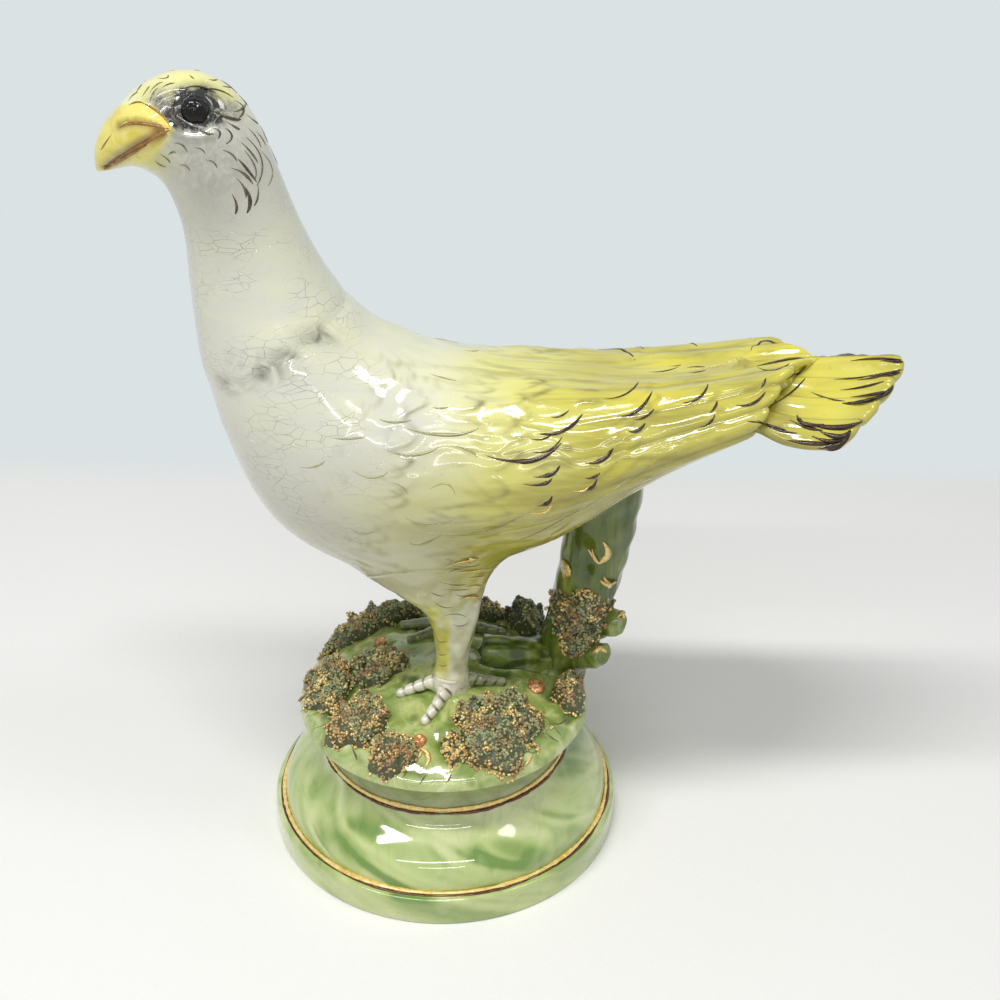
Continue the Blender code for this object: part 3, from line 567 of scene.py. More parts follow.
def barkGlaze():
    look = barkFinish
    glaze = Glaze("streakedBarkGlaze", look)
    grain = glaze.noise(*look["grain"], glaze.stretched(look["grainRun"]))
    patch = glaze.noise(*look["patch"])
    glaze.shade = glaze.ramp(grain, *look["bark"])
    glaze.lay(glaze.ramp(patch, *look["poolEnds"]), look["pool"])
    glaze.lay("deep", look["deep"])
    # pale green on the stubs and on the branch's ridge tops: partly the bark's own green, partly painted
    # light
    glaze.lay("fresh", glaze.ramp(patch, *look["fresh"]))
    return glaze.done(grain)


mossFinish = {
    "roughness": 0.30, "coat": 0.2, "drift": (500, 3), "driftSway": 0.35, "wear": (900, 2), "wearSway": 0.8,
    "clay": [(0.06, (78, 84, 52)), (0.16, (120, 132, 88)), (0.38, (168, 174, 124)), (0.56, (170, 154, 106)),
             (0.8, (152, 118, 76)), (1.0, (196, 162, 108))],
    "giltEnds": [(0.5, 0), (0.62, 0.45)], "giltGain": 2.1, "sheen": (400, 2),
    "gold": [(0.3, (214, 168, 90)), (0.7, (255, 234, 168))], "grain": (1500, 3), "bump": 0.0003}


def mossGlaze():
    look = mossFinish
    glaze = Glaze("giltMossCrumb", look)
    tone = glaze.swayed("tone", glaze.noise(*look["drift"]), look["driftSway"])
    glaze.shade = glaze.ramp(tone, *look["clay"])
    gilt = glaze.ramp(glaze.swayed("gilt", glaze.noise(*look["wear"]), look["wearSway"]), *look["giltEnds"])
    glaze.fill(glaze.shader, {"Metallic": gilt})
    glaze.lay(gilt, glaze.spread(look["sheen"], look["gold"]), look["giltGain"])
    return glaze.done()


toeFinish = {"roughness": 0.15, "coat": 0.5, "patch": (160, 5, 1.5), "furrow": (62, 46, 28),
             "cream": [(0.3, (206, 202, 180)), (0.5, (232, 228, 206)), (0.72, (240, 236, 212))],
             "olive": [(0.35, (92, 102, 54)), (0.65, (142, 146, 92))], "grain": (420, 3), "bump": 0.0002}


def toeGlaze():
    glaze = Glaze("creamToeGlaze", toeFinish)
    patch = glaze.noise(*toeFinish["patch"])
    glaze.shade = glaze.ramp(patch, *toeFinish["cream"])
    # olive darkens the far foot: painted shade
    glaze.lay("olive", glaze.ramp(patch, *toeFinish["olive"]))
    glaze.lay("furrow", toeFinish["furrow"])
    return glaze.done()


pelletFinish = {"roughness": 0.22, "coat": 0.5, "worn": (520, 4, 1.5), "giltEnds": [(0.5, 0), (0.6, 1)],
                "clay": [(0.3, (150, 84, 44)), (0.52, (206, 140, 86)), (0.7, (232, 184, 112))],
                "bump": 0.0003}


def pelletGlaze():
    glaze = Glaze("orangePelletGlaze", pelletFinish)
    worn = glaze.noise(*pelletFinish["worn"])
    glaze.fill(glaze.shader, {"Metallic": glaze.ramp(worn, *pelletFinish["giltEnds"])})
    glaze.shade = glaze.ramp(worn, *pelletFinish["clay"])
    return glaze.done(worn)


ivoryAndLemon = birdGlaze()
yellowBeak = beakGlaze()
blackEye = patchyGlaze("blackEyeGlaze", eyeFinish)
darkStroke = brushPaint("darkBrushStroke")
oliveStroke = brushPaint("oliveBrushStroke")
goldStroke = brushPaint("goldLustre")
scallopShadeStroke = brushPaint("sageScallopShade")
sepiaStroke = brushPaint("sepiaBrushStroke")
beakLine = brushPaint("brownBeakLine")
brownEdgeAndShade = brushPaint("brownEdgeAndShadePaint")
marbledGreen = marbledGlaze()
grassGreen = moundGlaze()
bark = barkGlaze()
mossCrumb = mossGlaze()
creamToe = toeGlaze()
orangePellet = pelletGlaze()
print("glazes mixed")

# the bird's form: ribs as back aft, back rise, belly aft, belly rise and half width, in millimetres
bird = {"offset": 0.0045, "belly": 0.1028, "rump": 1.9, "seam": 10.0, "face": 18.0,
        "bodyRows": 250, "neckRows": 200, "sides": 256,
        "ribs": np.array([
            (121.0, 75.7, 117.0, 63.2, 12.0), (106.0, 73.0, 105.0, 55.5, 19.0),
            (92.0, 70.6, 92.0, 49.0, 23.5), (75.0, 68.4, 74.0, 40.2, 27.0), (57.0, 67.6, 56.0, 28.0, 30.0),
            (36.0, 69.2, 36.0, 13.2, 33.5), (14.0, 71.2, 12.0, 3.7, 36.0), (-6.0, 76.2, -18.0, 0.0, 37.5),
            (-16.0, 80.7, -44.8, 10.7, 37.0), (-22.0, 84.7, -61.5, 31.2, 33.5),
            (-28.5, 91.7, -72.0, 64.0, 27.5), (-35.0, 101.7, -74.5, 83.2, 22.5),
            (-41.0, 114.7, -75.0, 102.2, 18.5), (-45.5, 127.7, -75.5, 114.7, 16.0),
            (-50.0, 140.7, -79.0, 126.2, 14.6), (-56.0, 151.2, -84.0, 130.7, 14.2),
            (-66.5, 158.0, -88.5, 133.7, 13.6), (-78.3, 157.2, -91.0, 137.7, 11.2),
            (-86.6, 152.4, -92.3, 143.2, 6.3)]) / 1000}


def formPoint(ribs, station, angle):  # angle 0 is the back, a quarter turn the left side
    backAft, backRise, bellyAft, bellyRise, half = np.moveaxis(rowAt(ribs, station), -1, 0)
    up = np.cos(angle)
    return np.stack([(backAft + bellyAft + up * (backAft - bellyAft)) / 2,
                     bird["offset"] - half * np.sin(angle),
                     bird["belly"] + (backRise + bellyRise + up * (backRise - bellyRise)) / 2], -1)


def skinPoint(ribs, station, angle, proud):
    nudge = 0.01
    along = formPoint(ribs, station + nudge, angle) - formPoint(ribs, station - nudge, angle)
    around = formPoint(ribs, station, angle + nudge) - formPoint(ribs, station, angle - nudge)
    return formPoint(ribs, station, angle) + np.asarray(proud)[..., None] * unit(np.cross(along, around))


def mirrored(points):  # the bird's other side
    other = np.array(points, float)
    other[..., 1] = 2 * bird["offset"] - other[..., 1]
    return other


# moulded feathers lie like shingles in staggered rows; wanders are amount, size and seed of a ripple
feathers = {"start": 9.4, "rowLength": 0.62, "laneDegrees": 10.5, "bow": 0.75, "rows": 17, "fade": 1.5,
            "edge": 0.13, "stray": 0.34, "strayLane": 12.9898, "strayRow": 78.233, "slant": 0.10, "none": 9.0,
            "laneWander": (0.42, 0.026, 12), "rowWander": (0.42, 0.026, 13)}


def shingles(station, angle):
    lane = np.degrees(np.abs(angle)) / feathers["laneDegrees"]
    run = (feathers["start"] - station) / feathers["rowLength"] + feathers["slant"] * lane
    spots = formPoint(bird["ribs"], station, np.abs(angle))
    lane = stirred(spots, lane, *feathers["laneWander"])
    run = stirred(spots, run, *feathers["rowWander"])
    ahead = np.full(run.shape, feathers["none"])
    for row in range(feathers["rows"]):
        place = lane + (row % 2) / 2
        turn = feathers["strayLane"] * np.floor(place) + feathers["strayRow"] * row
        stray = feathers["stray"] * np.sin(turn)
        gap = row + stray - feathers["bow"] * (2 * (place % 1.0) - 1) ** 2 - run
        ahead = np.where((gap >= 0) & (gap < ahead), gap, ahead)
    return np.clip(1 - ahead / feathers["fade"], 0, 1), hill(ahead, feathers["edge"])


def laneShare(across, lanes):  # place across one feather, 0 to 1
    return np.minimum(across * lanes % 1.0 + (across >= 1.0), 1.0)


# tints on the bird: a strength, then fades along an axis from a start over a run, in millimetres
tints = {
    "lemonRear": (0.94, ("slope", -39, 90)),
    "lemonBack": (0.16, ("z", 165, 20), ("x", -42, 30)),
    "lemonDrift": (0.10, ("x", -50, 40)),
    "lemonNape": (0.08, ("x", -62, 20), ("z", 170, 20)),
    "lemonCrown": (0.50, ("z", 247, 11)),
    # the olive tints grow toward the belly and the lower flank and wing: the glaze's olive wash, with painted
    # shade low on the body
    "oliveBelly": (0.86, ("z", 142, -34), ("x", -45, 45)),
    "oliveLow": (0.16, ("z", 150, -30)),
    "oliveRear": (0.22, ("z", 168, -20), ("x", 30, 50)),
    "oliveDrift": (1.0, ("x", 8, 50), ("x", 112, -14)),
    "oliveFlank": (0.64, ("x", -40, 34), ("z", 172, -36)),
    "oliveWing": (0.34, ("x", 50, 30), ("z", 176, -12), ("x", 118, -10)),
    "thigh": (1.0, ("z", 142, -26), ("x", 20, -24)),
    "crackle": (0.66, ("x", -8, -26), ("z", 232, -14)),
    "barbs": (0.62, ("x", -22, 60), ("z", 100, 12)),
    "barbsEnd": (0.6, ("x", 104, 8)),
    # painted shade: darker on the cheek and toward the foot of the breast
    "paintedShadeHead": (0.50, ("z", 248, -10)),
    "paintedShadeBreast": (0.30, ("z", 178, -50), ("x", -12, -24))}
tinting = {"slopeLevel": 150, "slope": 0.45, "headFoot": 226, "lemonDrift": (0.03, 11), "mostOlive": 0.85,
           "oliveDrift": (0.30, 0.18, 0.02, 16), "leastCrackle": 0.10, "face": (-81, 240), "faceSize": 7,
           "faceLemon": 0.6, "dusk": (-62, 229), "paintedShadeSize": 15, "paintedShadeTall": 0.8, "thighLemon": 0.72,
           "thighOlive": 0.62}


def birdTint(points):  # where the glaze turns lemon, olive or crazed
    x, _, z = (points * 1000).T
    axes = {"x": x, "z": z, "slope": x + tinting["slope"] * (tinting["slopeLevel"] - z)}

    def tint(name):
        strength, *fades = tints[name]
        for axis, start, run in fades:
            strength = strength * fade(axes[axis], start, run)
        return strength

    drift = ripple(points, *tinting["lemonDrift"])
    lemon = tint("lemonRear") + tint("lemonBack") + tint("lemonDrift") * drift
    lemon = np.where(z > tinting["headFoot"], tint("lemonCrown"), lemon + tint("lemonNape"))
    face = np.hypot(x - tinting["face"][0], z - tinting["face"][1])
    lemon = lemon + tinting["faceLemon"] * hill(face, tinting["faceSize"])
    drift = stirred(points, *tinting["oliveDrift"])
    olive = tint("oliveBelly") + tint("oliveLow") + tint("oliveRear") + drift * tint("oliveDrift")
    olive = olive + tint("oliveFlank") + tint("oliveWing")
    dusk = np.hypot(x - tinting["dusk"][0], tinting["paintedShadeTall"] * (z - tinting["dusk"][1]))
    return {"lemon": np.clip(lemon * (1 - tinting["thighLemon"] * tint("thigh")), 0, 1),
            "olive": np.clip(olive * (1 - tinting["thighOlive"] * tint("thigh")), 0, tinting["mostOlive"]),
            "crackle": tinting["leastCrackle"] + tint("crackle"),
            "barbs": tint("barbs") * (1 - tint("barbsEnd")),
            "dusk": hill(dusk, tinting["paintedShadeSize"]) * tint("paintedShadeHead") + tint("paintedShadeBreast")}


def skinHit(tree, x, y):  # where a place in the picture falls on the skin
    return tree.ray_cast(Vector(camera["place"]), pixelRay(x, y))[0]


def twinGap(points, spot):  # distance to a place, or to its twin on the other side
    return np.minimum(np.linalg.norm(points - spot, axis=1), np.linalg.norm(points - mirrored(spot), axis=1))


def spotted(layer, points, tree, spots):
    for x, y, size, strength in spots:
        gap = twinGap(points, np.array(skinHit(tree, x, y)))
        layer = np.maximum(layer, strength * hill(gap, size))
    return layer


def throughThree(spots, count):  # smooth line through three places
    t = np.linspace(0, 1, count)[:, None]
    start, middle, end = (np.array(spot, float) for spot in spots)
    return (1 - t) * (1 - 2 * t) * start + 4 * t * (1 - t) * middle + t * (2 * t - 1) * end


scoring = {"steps": 40, "stainSpread": 1.7, "far": 1.0}


def score(piece, tree, spots, width, depth):  # presses a groove seen in the picture, on both sides
    hits = [skinHit(tree, *spot) for spot in throughThree(spots, scoring["steps"])]
    line = np.array([hit for hit in hits if hit is not None])
    points = coordsOf(piece)
    gap = np.full(len(points), scoring["far"])
    for spot in np.concatenate([line, mirrored(line)]):
        gap = np.minimum(gap, np.linalg.norm(points - spot, axis=1))
    raiseSkin(piece, points, -depth * hill(gap, width))
    return hill(gap, scoring["stainSpread"] * width)


# joint at the neck's foot; smudges: picture place and size
seam = {"depth": 0.00042, "width": 0.22, "overlap": 0.25, "tuck": 0.0009, "stain": 0.95,
        "smear": (0.6, 1, 1.5), "smudges": [
            (227, 385, 0.0042), (262, 369, 0.0056), (244, 382, 0.0034), (318, 336, 0.0046),
            (290, 356, 0.0036)]}


def seamStain(points, tree):  # dark smudges where slip was wiped along the joint
    stain = np.zeros(len(points))
    for x, y, size in seam["smudges"]:
        spot = skinHit(tree, x, y)
        if spot is not None:
            away = np.linalg.norm((points - np.array(spot)) * seam["smear"], axis=1)
            stain = np.maximum(stain, seam["stain"] * hill(away, size))
    return stain


def seamDip(past):  # crease at the joint, then down under the other casting
    crease = seam["depth"] * hill(np.minimum(past, 0), seam["width"])
    return crease + seam["tuck"] * np.clip(past / seam["overlap"], 0, 1)


def ribGrid(first, last, rows, sides):  # stations along a form and angles round it
    return grid(np.linspace(first, last, rows), circle(sides))


# feathered part of the body: fades over the stations and over degrees from the back
flank = {"rear": (3.2, 1.5), "front": (8.6, -1.4), "back": (8, 12), "belly": (150, -25), "relief": 0.0007,
         "furrow": (0.46, 0.28, 0.016, 14)}


def buildBody():
    station, angle = ribGrid(bird["rump"], bird["seam"] + seam["overlap"], bird["bodyRows"], bird["sides"])
    turn = np.minimum(angle, 2 * math.pi - angle)
    height, edge = shingles(station, turn)
    degrees = np.degrees(turn)
    feathered = fade(station, *flank["rear"]) * fade(station, *flank["front"])
    feathered = feathered * fade(degrees, *flank["back"]) * fade(degrees, *flank["belly"])
    proud = flank["relief"] * feathered * soften(height, 3) - seamDip(station - bird["seam"])
    piece, points = addTube("birdBody", skinPoint(bird["ribs"], station, angle, proud), ivoryAndLemon)
    # the furrow darkens the glaze along each feather's step: painted shade in the creases, in an olive tone
    furrow = withHubs(feathered * soften(edge, 1)) * stirred(points, *flank["furrow"]).clip(0, 1)
    paint(piece, furrow=furrow, stain=seamStain(points, treeOf(piece)), **birdTint(points))
    return dress(piece, "ivory_glaze", "body")


# the eye; lid and moat are height, ring in eye radii and width, and stains are strength, ring and reach
eye = {"radius": 0.0040, "station": 15.52, "angle": math.radians(54.5), "sink": 0.0012, "cuts": 4,
       "uneven": (1, 0.03, 0.002, 5), "lid": (0.0001, 1.22, 0.0008), "moat": (-0.00015, 1.75, 0.0011),
       "grey": (0.95, 1, 0.0014), "soot": (2.2, 1.05, 0.0011)}

# ridges over and under the eye: three picture places, width and height
headRidges = {"cheek": ([(172, 128), (191, 137), (213, 133)], 0.0012, 0.0012),
              "brow": ([(157, 98), (168, 92), (184, 90)], 0.0011, 0.0006)}

# grey lore patch between beak and eye, and soot on it: picture place, size and strength
headSpots = {
    "grey": [
        (160, 101, 0.0044, 0.90), (168, 111, 0.0044, 1.0), (173, 120, 0.0034, 1.0), (178, 99, 0.0036, 0.8),
        (190, 90, 0.0030, 0.55), (212, 98, 0.0040, 0.75), (224, 105, 0.0036, 0.6),
        (236, 112, 0.0036, 0.45), (200, 126, 0.0030, 0.6), (214, 122, 0.0034, 0.5),
        (190, 150, 0.0095, 0.36), (215, 150, 0.0095, 0.36), (204, 178, 0.0095, 0.24),
        (240, 134, 0.0060, 0.28), (234, 168, 0.0080, 0.30), (168, 160, 0.0060, 0.25)],
    "soot": [
        (172, 121, 0.0026, 1.8), (179, 117, 0.0026, 1.8), (168, 110, 0.0026, 0.9), (178, 104, 0.0022, 1.2),
        (184, 95, 0.0026, 1.6), (204, 93, 0.0028, 1.6), (214, 103, 0.0026, 1.4), (217, 117, 0.0026, 1.3),
        (197, 125, 0.0024, 1.8), (232, 110, 0.0034, 0.5), (222, 108, 0.0026, 0.9),
        (184, 124, 0.0022, 1.6)]}


def eyeCentre():
    return skinPoint(bird["ribs"], np.array(eye["station"]), np.array(eye["angle"]), -eye["sink"])


def buildNeck():
    station, angle = ribGrid(bird["seam"] - seam["overlap"], bird["face"], bird["neckRows"], bird["sides"])
    skin = skinPoint(bird["ribs"], station, angle, -seamDip(bird["seam"] - station))
    piece, points = addTube("neckAndHead", skin, ivoryAndLemon)
    away = twinGap(points, eyeCentre())
    rings = (eye["lid"], eye["moat"])
    raiseSkin(piece, points, sum(height * hill(away - ring * eye["radius"], width)
                                 for height, ring, width in rings))
    tree = treeOf(piece)
    for spots, width, height in headRidges.values():
        score(piece, tree, spots, width, -height)
    points = coordsOf(piece)
    stains = {}
    for name in ("grey", "soot"):
        strength, ring, reach = eye[name]
        ringed = strength * hill(np.maximum(away - ring * eye["radius"], 0), reach)
        stains[name] = spotted(ringed, points, tree, headSpots[name])
    paint(piece, **stains, stain=seamStain(points, tree), beakYellow=beakShare(points), **birdTint(points))
    return dress(piece, "ivory_glaze", "neck_and_head")


def buildEyes():
    for name, side in (("left", 1), ("right", -1)):
        points, faces = ballShape(eye["cuts"], eye["radius"])
        points *= stirred(points, *eye["uneven"])[:, None]
        centre = eyeCentre() if side > 0 else mirrored(eyeCentre())
        dress(addPiece(name + "Eye", points + centre, [faces], blackEye), "black_glaze", name + "_eye")


# beak: ribs as the bird's, then lines as picture places
beak = {"rows": 90, "sides": 96, "ribs": np.array([
            (-71.0, 151.4, -73.5, 137.0, 13.8), (-80.0, 153.4, -80.5, 134.4, 14.6),
            (-87.5, 150.6, -86.5, 132.4, 12.3), (-94.0, 145.3, -92.0, 131.0, 8.4),
            (-98.0, 138.4, -96.2, 130.0, 4.7), (-99.0, 132.2, -98.3, 129.8, 1.7)]) / 1000,
        "gape": [(170, 131), (139, 145), (106, 168)], "nostril": [(119, 127), (137, 124), (168, 128)],
        "brow": [(100, 112), (119, 106), (128, 105), (137, 102), (148, 103), (156, 108), (163, 115),
                 (173, 128)],
        "chin": [(173, 128), (168, 138), (160, 148), (152, 157), (143, 164), (130, 172)],
        "browSoft": 2.0, "chinSoft": 12.0, "faceEnd": (-0.062, -0.002),
        "gapeDepth": 0.0011, "nostrilDepth": 0.0008, "grooveWidth": 0.0010, "grooveEnd": (-0.0765, -0.004),
        "gapeStain": 0.9, "nostrilStain": 0.75, "mostStain": 0.95, "chinOlive": 0.7,
        "chinTop": (0.2395, -0.004), "chinFront": (-0.0945, 0.006), "fillet": 0.0022}


def beakShare(points):  # 1 where the face is painted beak yellow
    near = np.where((points[:, 1] > bird["offset"])[:, None], mirrored(points), points)
    x, y = pixelOf(near)
    brow, chin = np.array(beak["brow"], float).T, np.array(beak["chin"], float).T
    below = y - np.interp(x, *brow)
    before = np.interp(y, chin[1], chin[0]) - x
    inside = ease(0.5 + below / beak["browSoft"]) * ease(0.5 + before / beak["chinSoft"])
    return inside * fade(points[:, 0], *beak["faceEnd"])


def buildBeak(neck):
    station, angle = ribGrid(0, len(beak["ribs"]) - 1, beak["rows"], beak["sides"])
    skin = skinPoint(beak["ribs"], station, angle, np.zeros(station.shape))
    piece, _ = addTube("hookedBeak", skin, yellowBeak)
    tree = treeOf(piece)
    reach = fade(coordsOf(piece)[:, 0], *beak["grooveEnd"])
    gape = score(piece, tree, beak["gape"], beak["grooveWidth"], beak["gapeDepth"] * reach)
    nostril = score(piece, tree, beak["nostril"], beak["grooveWidth"], beak["nostrilDepth"] * reach)
    points = coordsOf(piece)
    chin = fade(points[:, 2], *beak["chinTop"]) * fade(points[:, 0], *beak["chinFront"])
    yellow = beakShare(points)
    stain = np.clip(beak["gapeStain"] * gape + beak["nostrilStain"] * nostril, 0, beak["mostStain"])
    paint(piece, stain=stain * yellow, olive=beak["chinOlive"] * chin, bare=1 - yellow)
    fillet(piece, neck, beak["fillet"])
    return dress(piece, "ivory_glaze")


# wing: places are shares of its length and width; coverts in front, flight feathers behind
wing = {"rows": 190, "columns": 130, "root": 8.5, "tip": 0.15, "sweep": 1.85, "bow": 0.72, "scallop": 0.12,
        "lanes": 5, "shoulder": 0.42, "top": (78, 3.5), "bottom": (92, 110),
        "swell": 0.0022, "sink": 0.0006, "inside": -0.0018, "blunt": 0.03, "bluntDrop": 0.0012,
        "frontRise": 0.48, "topRise": 0.26, "bottomRise": 0.2, "reliefRise": 3,
        "shingle": 0.0007, "covertRoot": (0.04, 0.15), "covertEnd": (0.62, 0.2), "covertDrop": 0.65,
        "roll": 0.0014, "rollLean": 0.45, "flightRoot": (0.42, 0.25),
        "fold": 0.0007, "foldPlace": 0.30, "foldWidth": 0.07, "foldSway": 0.05, "foldWaves": 9,
        "foldRoot": (0.2, 0.2), "covertLine": (0.5, 0.35, 0.016, 15), "flightLine": 0.6, "flightEdge": 0.55,
        "furrow": 1.2, "furrowRise": 2, "mostFurrow": 0.8, "fillet": 0.0016}


def buildWing(name, side):
    along, across = grid(np.linspace(0, 1, wing["rows"]), np.linspace(0, 1, wing["columns"]))
    share = laneShare(across, wing["lanes"])
    tip = wing["tip"] + wing["sweep"] * across ** wing["bow"] + wing["scallop"] * (2 * share - 1) ** 2
    station = between(wing["root"], tip, along)
    spread = np.sqrt(ease(along / wing["shoulder"]))
    angle = between(*(np.radians(between(*wing[edge], spread)) for edge in ("top", "bottom")), across)
    height, edge = shingles(station, angle)
    covert = fade(along, *wing["covertRoot"]) * (1 - wing["covertDrop"] * fade(along, *wing["covertEnd"]))
    flight = fade(along, *wing["flightRoot"])
    body = ease(along / wing["frontRise"]) * ease(across / wing["topRise"])
    body = body * ease((1 - across) / wing["bottomRise"])
    lean = 1 - wing["rollLean"] + wing["rollLean"] * share
    rolled = np.sqrt(np.clip(1 - (2 * share - 1) ** 2, 0, 1)) * lean
    relief = wing["shingle"] * covert * soften(height, 4) + wing["roll"] * flight * soften(rolled, 5)
    past = across - wing["foldPlace"] - wing["foldSway"] * np.sin(wing["foldWaves"] * along)
    relief = relief + wing["fold"] * hill(past, wing["foldWidth"]) * fade(along, *wing["foldRoot"])
    blunt = np.clip((along - 1 + wing["blunt"]) / wing["blunt"], 0, 1)
    proud = -wing["sink"] + (wing["swell"] + wing["sink"]) * body + relief * ease(body * wing["reliefRise"])
    proud = proud - wing["bluntDrop"] * (1 - np.sqrt(1 - blunt ** 2))
    outer = skinPoint(bird["ribs"], station, side * angle, proud)
    inner = skinPoint(bird["ribs"], station, side * angle, np.full(station.shape, wing["inside"]))
    points, faces = slab(outer, inner)
    piece = addPiece(name, points, faces, ivoryAndLemon)
    # the furrow darkens the covert edges and the grooves between the rolled flight feathers: painted shade in
    # the creases
    line = stirred(outer, *wing["covertLine"]).clip(0, 1) * covert * soften(edge, 1)
    line = line + wing["flightLine"] * flight * (1 - ease(soften(rolled, 3) / wing["flightEdge"]))
    furrow = np.clip(wing["furrow"] * line * ease(body * wing["furrowRise"]), 0, wing["mostFurrow"])
    paint(piece, furrow=np.append(furrow, np.zeros(station.size)), **birdTint(points))
    return piece


# tail: vanes are a place across one feather, a width and a strength
tail = {"rows": 90, "feathers": 4, "lane": 16, "length": 0.0515, "halves": (0.0180, 0.0300),
        "rootAft": 0.0923, "ridgeRise": 0.0720, "ridgeLift": 0.0020, "slope": 0.48, "sweep": 0.0235,
        "sweepPower": 1.4, "scallop": 0.0014, "rootThick": 0.0190, "endThick": 0.0030, "step": 0.0014,
        "stepLevel": 0.4, "reliefRise": 0.5, "vane": 0.00042, "vaneSway": 0.10, "wavesAlong": 7,
        "wavesAcross": 3, "vanes": [(0.30, 0.10, 1.0), (0.68, 0.10, 0.8), (0.95, 0.07, 0.6)],
        "endRound": (0.95, 0.05), "sideRound": (0.94, 0.06), "roundOver": 0.4,
        "edgeLine": 0.5, "edgeRise": 0.4, "edgeWidth": 0.06, "tipLine": 0.30, "tip": (0.7, 0.3),
        "mostFurrow": 0.7, "underShade": 0.3, "fillet": 0.004}


def buildTail():
    half = np.linspace(0, 1, tail["feathers"] * tail["lane"] + 1)
    along, across = grid(np.linspace(0, 1, tail["rows"]), np.concatenate([-half[:0:-1], half]))
    reach = np.abs(across)
    share = laneShare(reach, tail["feathers"])
    length = tail["length"] - tail["sweep"] * reach ** tail["sweepPower"]
    length = length - tail["scallop"] * (2 * share - 1) ** 2
    spread = 1 - (1 - along) ** 3
    sideways = across * between(*tail["halves"], spread)
    rise = tail["ridgeRise"] + tail["ridgeLift"] * along - tail["slope"] * np.abs(sideways)
    lap = tail["step"] * (soften(1 - share, 2) - tail["stepLevel"])
    wave = share + tail["vaneSway"] * np.sin(tail["wavesAlong"] * along + tail["wavesAcross"] * reach)
    vane = soften(sum(strength * hill(wave - place, width) for place, width, strength in tail["vanes"]), 1)
    rise = rise + ease(along / tail["reliefRise"]) * (lap + tail["vane"] * vane)
    thick = tail["endThick"] + (tail["rootThick"] - tail["endThick"]) * (1 - along) ** 2 * (1 - reach ** 2)
    end = np.clip((along - tail["endRound"][0]) / tail["endRound"][1], 0, 1)
    side = np.clip((reach - tail["sideRound"][0]) / tail["sideRound"][1], 0, 1)
    rounded = 1 - np.sqrt(np.clip(1 - np.maximum(end, side) ** 2, 0, 1))
    place = np.array((0.0, bird["offset"], bird["belly"]))
    aft = tail["rootAft"] + length * along
    outer = np.stack([aft, sideways, rise - tail["roundOver"] * thick * rounded], -1) + place
    inner = np.stack([aft, sideways, rise - thick * (1 - tail["roundOver"] * rounded)], -1) + place
    points, faces = slab(outer, inner)
    piece = addPiece("fannedTail", points, faces, ivoryAndLemon)
    # the furrow darkens the feather edges as painted shade in the steps, grows toward the tips, and darkens
    # the whole underside as painted shade under the tail
    edge = hill(np.minimum(share, 1 - share), tail["edgeWidth"])
    edge = tail["edgeLine"] * ease(along / tail["edgeRise"]) * edge
    furrow = np.clip(edge + tail["tipLine"] * fade(along, *tail["tip"]), 0, tail["mostFurrow"])
    paint(piece, furrow=np.append(furrow, np.full(along.size, tail["underShade"])), **birdTint(points))
    return dress(piece, "lemon_glaze", "tail")


# mound, which the feet, stump and moss stand on; rows are counted from the end of the dome
mound = {"radius": 0.0505, "lip": 0.0495, "lipRound": 0.0022, "top": 0.0630, "waist": 0.0426, "foot": 0.0322,
         "undercut": 0.6, "straight": 0.7, "sides": 280, "domeRows": 110, "lipRows": 10, "coveRows": 30,
         "hub": 0.0004, "lumps": [(0, 0.00055, 0.014, 21), (0, 0.00018, 0.006, 22)], "lumpEnd": (4, -10),
         "wobble": (-0.004, 0.006, 0.03, 23), "wobbleTall": (1, 1, 0.2), "lipRow": 5, "lipSpread": 9,
         "paleEdge": (0.0415, 0.007), "pale": (0.75, 0.25, 0.02, 24), "deep": (-0.0003, -0.0006),
         "collar": (11, 4)}


def moundHeight(distance):
    return mound["top"] - (mound["top"] - mound["lip"]) * (distance / mound["radius"]) ** 2


def onMound(x, y, rise=0.0):
    return np.stack([x, y, moundHeight(np.hypot(x, y)) + rise], -1)


def buildMound():
    crown = mound["radius"] - mound["lipRound"]
    out = np.linspace(mound["hub"], crown, mound["domeRows"])
    dome = np.stack([out, moundHeight(out)], -1)
    lip = (mound["radius"], mound["lip"] - mound["lipRound"])
    foot = (mound["waist"], mound["foot"])
    lipCurve = bend(dome[-1], (mound["radius"], mound["lip"]), lip, lip, mound["lipRows"])
    coveTop = (mound["radius"] - mound["undercut"] * (mound["radius"] - mound["waist"]), lip[1])
    coveSide = (foot[0], foot[1] + mound["straight"] * (lip[1] - foot[1]))
    cove = bend(lip, coveTop, coveSide, foot, mound["coveRows"])
    rings = turned(np.concatenate([dome, lipCurve, cove]), mound["sides"])
    flat = rings.reshape(-1, 3)
    row = np.repeat(np.arange(len(rings)) - len(dome), mound["sides"])
    onTop = fade(row, *mound["lumpEnd"])
    lump = sum(stirred(flat, *size) for size in mound["lumps"])
    flat[:, 2] += onTop * lump
    edge = np.linalg.norm(flat[:, :2], axis=1)
    wobble = stirred(flat * mound["wobbleTall"], *mound["wobble"])
    flat[:, :2] *= (1 + wobble * hill(row - mound["lipRow"], mound["lipSpread"]))[:, None]
    piece, _ = addTube("mossyMound", flat.reshape(rings.shape), grassGreen)
    # the lip is painted paler and the collar under it darker: painted light on the rim's top and painted
    # shade in the undercut, over the glaze's own green
    pale = np.clip(fade(edge, *mound["paleEdge"]) * stirred(flat, *mound["pale"]), 0, 1)
    deep = onTop * fade(lump, *mound["deep"])
    paint(piece, pale=withHubs(pale), deep=withHubs(deep), collar=withHubs(fade(row, *mound["collar"])))
    return dress(piece, "grass_green_glaze", "mound")


